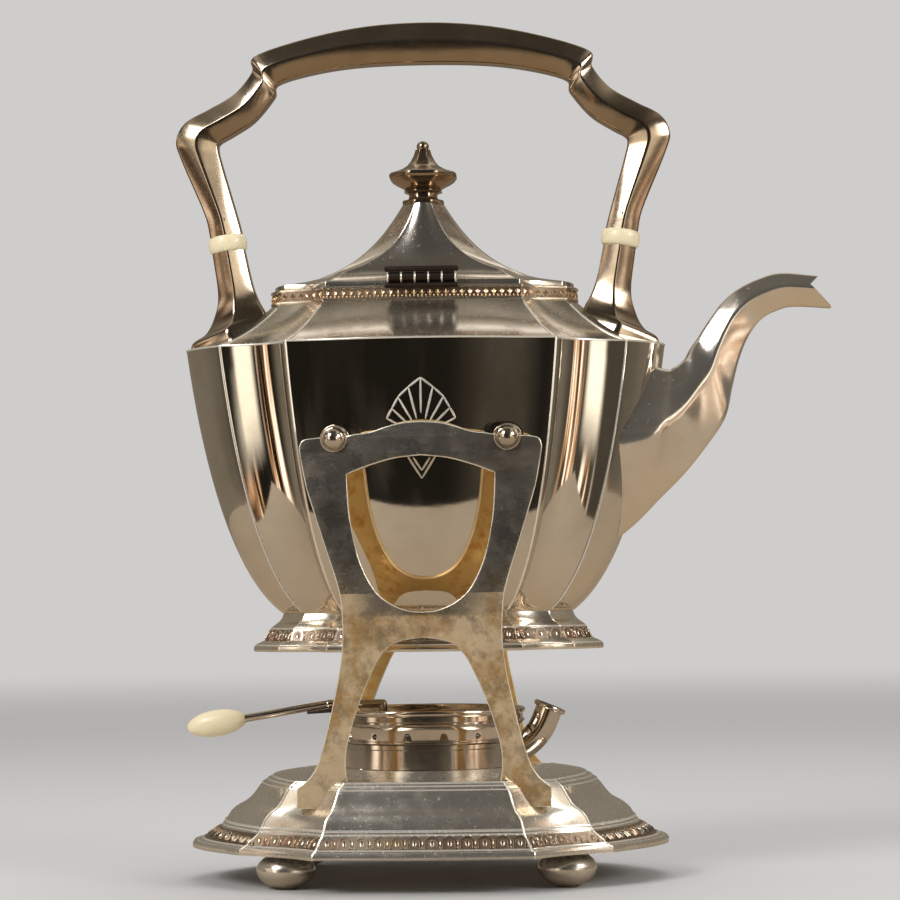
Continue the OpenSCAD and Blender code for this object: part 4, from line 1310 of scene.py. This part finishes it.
def leaf_motif(name, width, height, depth):
    """A small shell: three lobes over a bead."""
    pieces = []
    for turn, reach in ((-0.6, 0.85), (0, 1), (0.6, 0.85)):
        place = (Matrix.Translation((0, 0, -height * 0.3)) @ turned(turn, "Y"))
        pieces.append(bead(name, (0, 0, height * 0.36 * reach),
                           (width * 0.15, depth, height * 0.34 * reach), 8, place))
    for x in (0, 0.5):
        pieces.append(bead(name, (width * x, 0, -height * 0.38),
                           (width * 0.13, depth, height * 0.12), 8))
    return join(name, pieces)


def band_tree(material):
    """A node tree that sets a motif along each panel of an outline."""
    tree = bpy.data.node_groups.new("ornament_band", "GeometryNodeTree")
    face = tree.interface
    face.new_socket("Geometry", in_out="INPUT", socket_type="NodeSocketGeometry")
    face.new_socket("Geometry", in_out="OUTPUT", socket_type="NodeSocketGeometry")
    sockets = {}
    for name, kind in (("Motif", "NodeSocketObject"), ("Pitch", "NodeSocketFloat")):
        sockets[name] = face.new_socket(name, in_out="INPUT", socket_type=kind).identifier
    link = tree.links.new

    def add(kind, **settings):
        made = tree.nodes.new(kind)
        for key, value in settings.items():
            setattr(made, key, value)
        return made

    start, end = add("NodeGroupInput"), add("NodeGroupOutput")
    resample = add("GeometryNodeResampleCurve", mode="LENGTH")
    link(start.outputs["Geometry"], resample.inputs["Curve"])
    link(start.outputs["Pitch"], resample.inputs["Length"])
    info = add("GeometryNodeObjectInfo")
    link(start.outputs["Motif"], info.inputs["Object"])
    tangent = add("GeometryNodeInputTangent")
    turn = add("FunctionNodeAlignEulerToVector", axis="X", pivot_axis="Z")
    link(tangent.outputs[0], turn.inputs["Vector"])
    lean = add("ShaderNodeCombineXYZ")
    slope = add("GeometryNodeInputNamedAttribute", data_type="FLOAT")
    slope.inputs["Name"].default_value = "tilt"
    link(slope.outputs["Attribute"], lean.inputs["X"])
    local = add("FunctionNodeRotateEuler", rotation_type="EULER", space="LOCAL")
    link(turn.outputs[0], local.inputs["Rotation"])
    link(lean.outputs[0], local.inputs["Rotate By"])
    place = add("GeometryNodeInstanceOnPoints")
    link(resample.outputs["Curve"], place.inputs["Points"])
    link(info.outputs["Geometry"], place.inputs["Instance"])
    link(local.outputs[0], place.inputs["Rotation"])
    real = add("GeometryNodeRealizeInstances")
    link(place.outputs[0], real.inputs[0])
    paint = add("GeometryNodeSetMaterial")
    paint.inputs["Material"].default_value = material
    link(real.outputs[0], paint.inputs["Geometry"])
    link(paint.outputs[0], end.inputs["Geometry"])
    return tree, sockets


def band(name, lower, upper, motif, pitch, body, cover="ornament"):
    """Ornament between two outlines, each with its height: a dark ground with the motif
    repeated inside each panel. A point's tilt carries the slope of the face there."""
    (below, z0), (above, z1) = lower, upper
    rings = [o.inset(d * MM).ring(z) for o, z, d in (
        (below, z0, -0.06), (above, z1, -0.06), (above, z1, 0.3), (below, z0, 0.3))]
    finish(loft(name + "_ground", rings, closed=True), body, "silver", "ground")
    curve = bpy.data.curves.new(name, "CURVE")
    curve.dimensions = "3D"
    for row, high_row in zip(below.sides(), above.sides()):
        row, high_row = np.array(row), np.array(high_row)
        lean = math.atan2(abs(np.linalg.norm((row - high_row)[len(row) // 2])), z1 - z0)
        row = (row + high_row) / 2
        lengths = np.linalg.norm(np.diff(row, axis=0), axis=1)
        steps = np.concatenate([[0], lengths.cumsum()])
        count = max(2, round(steps[-1] / pitch))
        marks = (np.arange(count) + 0.5) * steps[-1] / count
        spline = curve.splines.new("POLY")
        spline.points.add(count - 1)
        for point, mark in zip(spline.points, marks):
            x, y = (np.interp(mark, steps, row[:, k]) for k in (0, 1))
            point.co = (x, y, (z0 + z1) / 2, 1)
            point.tilt = -lean
    holder = placed(name, curve)
    tree, sockets = band_tree(FINISH[cover])
    nodes = holder.modifiers.new("band", "NODES")
    nodes.node_group = tree
    nodes[sockets["Motif"]] = motif
    nodes[sockets["Pitch"]] = pitch
    mesh = evaluated(holder)
    bpy.data.objects.remove(holder)
    bpy.data.objects.remove(motif)
    piece = placed(name, mesh)
    shade(piece)
    finish(piece, body, "silver", cover)


class KETTLE_OT_ornament(MakerOperator):
    """Chased bands round the foot, the mouth and the base"""

    bl_idname = "kettle.ornament"
    bl_label = "Ornament"

    def make(self):
        s = self.sizes
        band("foot_arches", foot_level(0.64, 0.71), foot_level(0.45, 0.43),
             arch_motif("arch", s.foot_pitch, 4.3 * MM, 0.45 * MM), s.foot_pitch, "kettle")
        band("mouth_leaves", (MOUTH, mix(BAND_LOW, BAND_TOP, 0.2)),
             (MOUTH, mix(BAND_LOW, BAND_TOP, 0.8)),
             leaf_motif("leaf", s.band_pitch, 3.4 * MM, 0.45 * MM), s.band_pitch, "kettle",
             "mouth")
        band("base_arches", base_level(0.15, 0.138), base_level(0.35, 0.292),
             arch_motif("arch", s.base_pitch, 4.6 * MM, 0.5 * MM), s.base_pitch, "stand")


class KETTLE_OT_beads(MakerOperator):
    """Fine raised lines along the arrises, and round the body, foot and base"""

    bl_idname = "kettle.beads"
    bl_label = "Beaded arrises"
    # Shares of the way out and down of the foot's raised lines
    FOOT_HOOPS = ((0.14, 0.22), (0.42, 0.39), (0.93, 0.83))
    # Shares of the way in and up, and width, of the base's raised lines
    BASE_HOOPS = ((0.06, 0.09, 0.7), (0.12, 0.125, 0.8), (0.37, 0.32, 0.9), (0.4, 0.37, 1.3),
                  (0.86, 0.9, 0.7), (0.92, 0.95, 0.8), (0.985, 0.99, 1.1))

    @staticmethod
    def lines(name, levels, radius):
        """One line along each arris through these outlines, each with its height."""
        rods = []
        for share in ("corner", "crease"):
            for sx in (-1, 1):
                for sy in (-1, 1):
                    path = [(*(o.size * getattr(o, share) * (sx, sy)), z) for o, z in levels]
                    rods.append(tube("line", path, radius, 8))
        return join(name, rods)

    @staticmethod
    def hoop(outline, z, radius):
        """A line right round an outline."""
        rings = [outline.inset(radius * (0.4 - math.cos(a))).ring(z + radius * math.sin(a))
                 for a in np.arange(8) * math.pi / 4]
        return loft("hoop", rings, closed=True)

    def make(self):
        r = self.sizes.bead
        body = [body_level(t) for t in even(40)[1:]]
        shoulder = [shoulder_level(t) for t in even(16)[1:-1]]
        base = [base_level(*p) for p in BASE_PROFILE[6:]]
        # The line finish paints a highlight on these raised lines.
        finish(self.lines("body_lines", body, r), "kettle", "silver", "line")
        hoops = [self.hoop(EDGE, EDGE_Z, r)]
        hoops += [self.hoop(*foot_level(out, down), r * 0.8) for out, down in self.FOOT_HOOPS]
        finish(join("kettle_hoops", hoops), "kettle", "silver", "line")
        finish(self.lines("shoulder_lines", shoulder, r), "kettle", "silver", "line")
        finish(self.lines("base_lines", base, r), "stand", "silver", "line")
        hoops = [self.hoop(*base_level(inward, up), r * width)
                 for inward, up, width in self.BASE_HOOPS]
        finish(join("base_hoops", hoops), "stand", "silver", "line")


# ---- Engraving ----

# Bearing in degrees and length in millimetres of the fan's rays. They start from a point below
# the panel's top edge, and a cap joins each ray to the next.
FAN_RAYS = [(-62, 15), (-46, 15.5), (-30, 17.5), (-14, 19.5), (0, 22.5), (14, 19.5), (30, 17.5),
            (46, 15.5), (62, 15)]
FAN_HEART = np.array([0, -38])


def fan_lines():
    """The engraving's lines: a fan, and two chevrons under it."""
    def tip(bearing, length):
        a = math.radians(bearing)
        return FAN_HEART + length * np.array([math.sin(a), math.cos(a)])

    # The middle ray starts further out than the others.
    lines = [(tip(b, 9 if b == 0 else 7), tip(b, r)) for b, r in FAN_RAYS]
    for (b0, r0), (b1, r1) in zip(FAN_RAYS, FAN_RAYS[1:]):
        lines.append((tip(b0, r0), tip(b1, r1)))
    for x, z0, z1 in ((3.2, -46, -51), (6, -44.5, -54)):
        lines += [((-x, z0), (0, z1)), ((0, z1), (x, z0))]
    return lines


class KETTLE_OT_engraving(MakerOperator):
    """Bright-cut fan on the front of the body"""

    bl_idname = "kettle.engraving"
    bl_label = "Engraving"

    def make(self):
        half, proud = self.sizes.line / 2, 0.03 * MM
        table = [(body_z(t), body_s(t)) for t in np.linspace(0, 1, 200)]
        heights, shares = [row[0] for row in table], [row[1] for row in table]

        def on_panel(x, z, out):
            share = np.interp(EDGE_Z + z, heights, shares)
            panel = EDGE.scaled(share).panels()[2]
            curve = [bezier(panel, t) for t in even(16)]
            y = np.interp(abs(x), [p[0] for p in curve][::-1], [p[1] for p in curve][::-1])
            return (x, -(y + out), EDGE_Z + z)

        points, faces = [], []
        for a, b in fan_lines():
            a, b = np.array(a) * MM, np.array(b) * MM
            along = (b - a) / np.linalg.norm(b - a)
            side = np.array([-along[1], along[0]]) * half
            count, first = 10, len(points)
            for t in even(count):
                p = mix(a, b, t)
                narrow = 1 - 0.55 * abs(2 * t - 1) ** 3
                for shift, out in ((-1, -proud), (-0.7, proud), (0.7, proud), (1, -proud)):
                    points.append(on_panel(*(p + side * shift * narrow), out))
            for k in range(count):
                for j in range(4):
                    h = (j + 1) % 4
                    faces.append((first + k * 4 + j, first + k * 4 + h,
                                  first + k * 4 + 4 + h, first + k * 4 + 4 + j))
            faces.append(tuple(first + j for j in (3, 2, 1, 0)))
            faces.append(tuple(first + count * 4 + j for j in range(4)))
        piece = mesh_object("cut_fan", points, faces)
        finish(piece, "kettle", "silver", "cut")


# ---- Hinge ----

class KETTLE_OT_hinge(MakerOperator):
    """Bars above and below the lid hinge, and rings between its knuckles"""

    bl_idname = "kettle.hinge"
    bl_label = "Hinge bars"

    def make(self):
        lo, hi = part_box("lid_hinge_leaf")
        pin_lo, pin_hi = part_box("hinge_pin")
        axis, half = (pin_lo + pin_hi) / 2, hi.x + 1.2 * MM
        thick, thin, taper = 1.1 * MM, 0.6 * MM, 0.4 * MM
        for name, body, z in (("hinge_bar", "kettle", axis.z - 3.4 * MM),
                              ("lid_hinge_bar", "lid", axis.z + 3.1 * MM)):
            rows = [(x, axis.y - 1.3 * MM, z)
                    for x in (-half, -half + taper, 0, half - taper, half)]
            bar = tube(name, rows, [thin, thick, thick, thick, thin], 12)
            # The bars are near black, painted shade above and below the hinge.
            finish(bar, body, "silver", "black")
        r, half_w, gaps = 2.35 * MM, 0.35 * MM, 5
        inside, crest = r - 1.6 * MM, r + 0.25 * MM
        profile = [(inside, -half_w), (r, -half_w), (crest, 0), (r, half_w), (inside, half_w)]
        rings = []
        for t in even(gaps):
            place = (Matrix.Translation((mix(lo.x, hi.x, t), axis.y, axis.z))
                     @ turned(math.pi / 2, "Y"))
            rings.append(lathe("ring", profile, place, 32, closed=True))
        # The rings take the line finish, a painted highlight between the knuckles.
        finish(join("knuckle_rings", rings), "kettle", "silver", "line")


# ---- Small solids that stay as they are ----

class KETTLE_OT_small_parts(MakerOperator):
    """Finishes of the pins, hinge, bosses and nut"""

    bl_idname = "kettle.small_parts"
    bl_label = "Small parts"
    # The hinge leaves take the near-black finish, painted shade in the hinge's recesses.
    FINISHES = {
        "handle_pins": "burner", "hinge_leaf": "black", "hinge_pin": "burner",
        "lid_hinge_leaf": "black", "finial_nut": "burner", "stud_bosses": "body",
    }

    def make(self):
        for node, name in self.FINISHES.items():
            coat(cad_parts[node], name)


# ---- Stage ----

# Middle of the kettle on its stand, that the lamps aim at and the room is seen from
MIDDLE = (0, 0, 0.15)
# Name, place, size and power of each lamp
LAMPS = (("key", (-0.9, -1.0, 1.1), 0.6, 12), ("fill", (1.2, -0.7, 0.8), 0.5, 6),
         ("top", (0.1, 0.3, 1.5), 0.9, 8))


# What the metal sees. Colours of the room's walls in front and behind, of its ceiling from the
# front backwards and at its sides, and of its windows
ROOM_DARK, ROOM_HAZE, ROOM_BACK = (0.014, 0.012, 0.009), (0.17, 0.145, 0.11), (0.21, 0.18, 0.14)
CEILING_FRONT, CEILING, CEILING_SIDE = (0.05, 0.042, 0.03), (0.42, 0.37, 0.30), (0.62, 0.56, 0.47)
CEILING_LAMP, CEILING_BACK = (1.2, 1.1, 1.0), (0.60, 0.54, 0.43)
SUNSET, DAYLIGHT, PANE = (1.2, 0.66, 0.33), (1.8, 1.7, 1.5), (1.7, 1.55, 1.3)


def room(p, direction):
    """A dark room in front with windows at both sides, a lighter wall behind and a ceiling
    that is bright at its sides."""
    x, y, z = (p.axis(direction, letter) for letter in "XYZ")
    side, front = abs(x), (0 - y).over(-0.2, 0.25)
    blotch = p.node("ShaderNodeTexNoise", {}, {"Vector": direction, "Scale": 3.0, "Detail": 5.0,
                                               "Roughness": 0.6})
    haze = x.over(0.1, 0.5) * 0.4 + blotch.over(0.5, 0.8) * 0.25
    walls = p.mixed(front, ROOM_BACK, p.mixed(haze, ROOM_DARK, ROOM_HAZE))
    above = p.mixed(y.over(-0.25, 0.2), CEILING_FRONT, CEILING)
    above = p.mixed(y.over(0.42, 0.5), above, CEILING_LAMP)
    above = p.mixed(y.over(0.62, 0.72), above, CEILING_BACK)
    above = p.mixed(side.over(0.35, 0.6), above, CEILING_SIDE)
    colour = p.mixed(z.over(0.62, 0.8), walls, above)
    streak = p.node("ShaderNodeTexNoise", {}, {
        "Vector": p.node("ShaderNodeMapping", {}, {"Vector": direction, "Scale": (22, 0, 3)}),
        "Scale": 1.0, "Detail": 3.0})
    inner = side.within(0.5, 0.54, 0.66, 0.7) * (1 - z.over(-0.2, -0.1))
    outer = side.within(0.78, 0.82, 0.95, 0.98)
    window = (inner + outer) * front * z.within(-0.45, -0.3, 0.4, 0.55) * streak.over(0.44, 0.56)
    colour = p.mixed(window, colour, p.mixed(streak.over(0.5, 0.62), SUNSET, DAYLIGHT))
    pane = side.within(0.5, 0.56, 0.7, 0.78) * front * z.within(-0.16, -0.06, 0.3, 0.5)
    return p.mixed(pane, colour, PANE)


class KETTLE_OT_stage(MakerOperator):
    """Pale floor, soft light and the camera"""

    bl_idname = "kettle.stage"
    bl_label = "Stage"

    def make(self):
        self.floor()
        self.world()
        self.lamps()
        self.camera()
        bpy.context.scene.view_settings.view_transform = "Standard"

    def floor(self):
        tone = bpy.context.scene.kettle_colours.floor[:]
        disc = [(x, y, 0) for x, y in arc((0, 0), (6.0, 6.0), 0, 2 * math.pi, 64)[:-1]]
        floor = mesh_object("floor", disc, [tuple(range(len(disc)))])
        p = Paint("floor")
        glossy = p.ray("Glossy")
        p.set(Base_Color=p.mixed(glossy, tone, (0.40, 0.33, 0.25)), Roughness=0.7)
        p.set(Specular_IOR_Level=0.2)
        # The far floor fades into the backdrop's colour. Metal sees the room past the table.
        away = p.node("ShaderNodeVectorMath", {"operation": "LENGTH"}, {0: p.place}, "Value")
        x, y = p.axis(p.place, "X"), p.axis(p.place, "Y")
        ends = (0 - y).over(0.50, 0.505).maths("MAXIMUM", abs(x).over(0.6, 0.61))
        aim = p.node("ShaderNodeVectorMath", {"operation": "SUBTRACT"}, {0: p.place, 1: MIDDLE})
        aim = p.node("ShaderNodeVectorMath", {"operation": "NORMALIZE"}, {0: aim})
        far = away.over(0.7, 3.0) * p.ray("Camera") + ends * glossy
        glow = p.node("ShaderNodeEmission", {}, {
            "Color": p.mixed(glossy, tone, room(p, aim)), "Strength": 1.0})
        shown = p.node("ShaderNodeMixShader", {}, {
            0: far, 1: Wire(p, p.shader.outputs[0]), 2: glow})
        out = p.tree.nodes["Material Output"]
        p.tree.links.new(shown.socket, out.inputs["Surface"])
        floor.data.materials.append(p.owner)

    def world(self):
        """Plain backdrop for the camera, with the room for the metal."""
        tone = bpy.context.scene.kettle_colours.floor[:]
        bpy.context.scene.world = bpy.data.worlds.new("studio")
        p = Paint("studio", bpy.context.scene.world)
        seen = room(p, p.node("ShaderNodeTexCoord", {}, {}, "Generated"))
        soft = p.mixed(p.ray("Glossy"), (0.45, 0.45, 0.45), seen)
        colour = p.mixed(p.ray("Camera"), soft, tone)
        back = p.tree.nodes["Background"]
        p.tree.links.new(colour.socket, back.inputs["Color"])

    def lamps(self):
        for name, place, size, power in LAMPS:
            lamp = bpy.data.lights.new(name, "AREA")
            lamp.size = size
            lamp.energy = power
            holder = placed(name, lamp)
            holder.location = place
            aim = Vector(MIDDLE) - Vector(place)
            holder.rotation_euler = aim.to_track_quat("-Z", "Y").to_euler()
            holder.visible_glossy = name != "top"

    def camera(self):
        """The view: nearly level, a little to the right of the middle."""
        away, height = 1.05, 0.111
        azimuth, heading, pitch, roll = (math.radians(a) for a in (2.33, 1.81, 3.17, -0.68))
        eye = Vector((away * math.sin(azimuth), -away * math.cos(azimuth), height))
        sensor, focal_px, image_px = 36, 2625, 900
        lens = bpy.data.cameras.new("camera")
        lens.sensor_width = sensor
        lens.lens = sensor * focal_px / image_px
        lens.clip_start, lens.clip_end = 0.01, 50
        camera = placed("camera", lens)
        camera.matrix_world = (Matrix.Translation(eye) @ turned(heading, "Z")
                               @ turned(math.pi / 2 + pitch, "X") @ turned(roll, "Z"))
        bpy.context.scene.camera = camera


class KETTLE_PT_panel(Panel):
    """Sizes, colours and makers of the kettle"""

    bl_label = "Silver Kettle"
    bl_idname = "KETTLE_PT_panel"
    bl_space_type = "VIEW_3D"
    bl_region_type = "UI"
    bl_category = "Kettle"

    def draw(self, context):
        for group in (context.scene.kettle_sizes, context.scene.kettle_colours):
            for name in group.__annotations__:
                self.layout.prop(group, name)
        for maker in MAKERS:
            self.layout.operator(maker.bl_idname)


MAKERS = (
    KETTLE_OT_stage, KETTLE_OT_body, KETTLE_OT_foot, KETTLE_OT_shoulder, KETTLE_OT_mouth,
    KETTLE_OT_spout, KETTLE_OT_handle, KETTLE_OT_lid, KETTLE_OT_finial, KETTLE_OT_studs,
    KETTLE_OT_base, KETTLE_OT_feet, KETTLE_OT_frames, KETTLE_OT_burner, KETTLE_OT_regulator,
    KETTLE_OT_ornament, KETTLE_OT_beads, KETTLE_OT_hinge, KETTLE_OT_engraving,
    KETTLE_OT_small_parts,
)
CLASSES = (KettleColours, KettleSizes) + MAKERS + (KETTLE_PT_panel,)


def register():
    for kind in CLASSES:
        bpy.utils.register_class(kind)
    bpy.types.Scene.kettle_colours = PointerProperty(type=KettleColours)
    bpy.types.Scene.kettle_sizes = PointerProperty(type=KettleSizes)


def unregister():
    del bpy.types.Scene.kettle_sizes
    del bpy.types.Scene.kettle_colours
    for kind in reversed(CLASSES):
        bpy.utils.unregister_class(kind)


def main():
    register()
    make_finishes(bpy.context.scene.kettle_colours)
    for maker in MAKERS:
        group, name = maker.bl_idname.split(".")
        getattr(getattr(bpy.ops, group), name)()


if __name__ == "__main__":
    main()
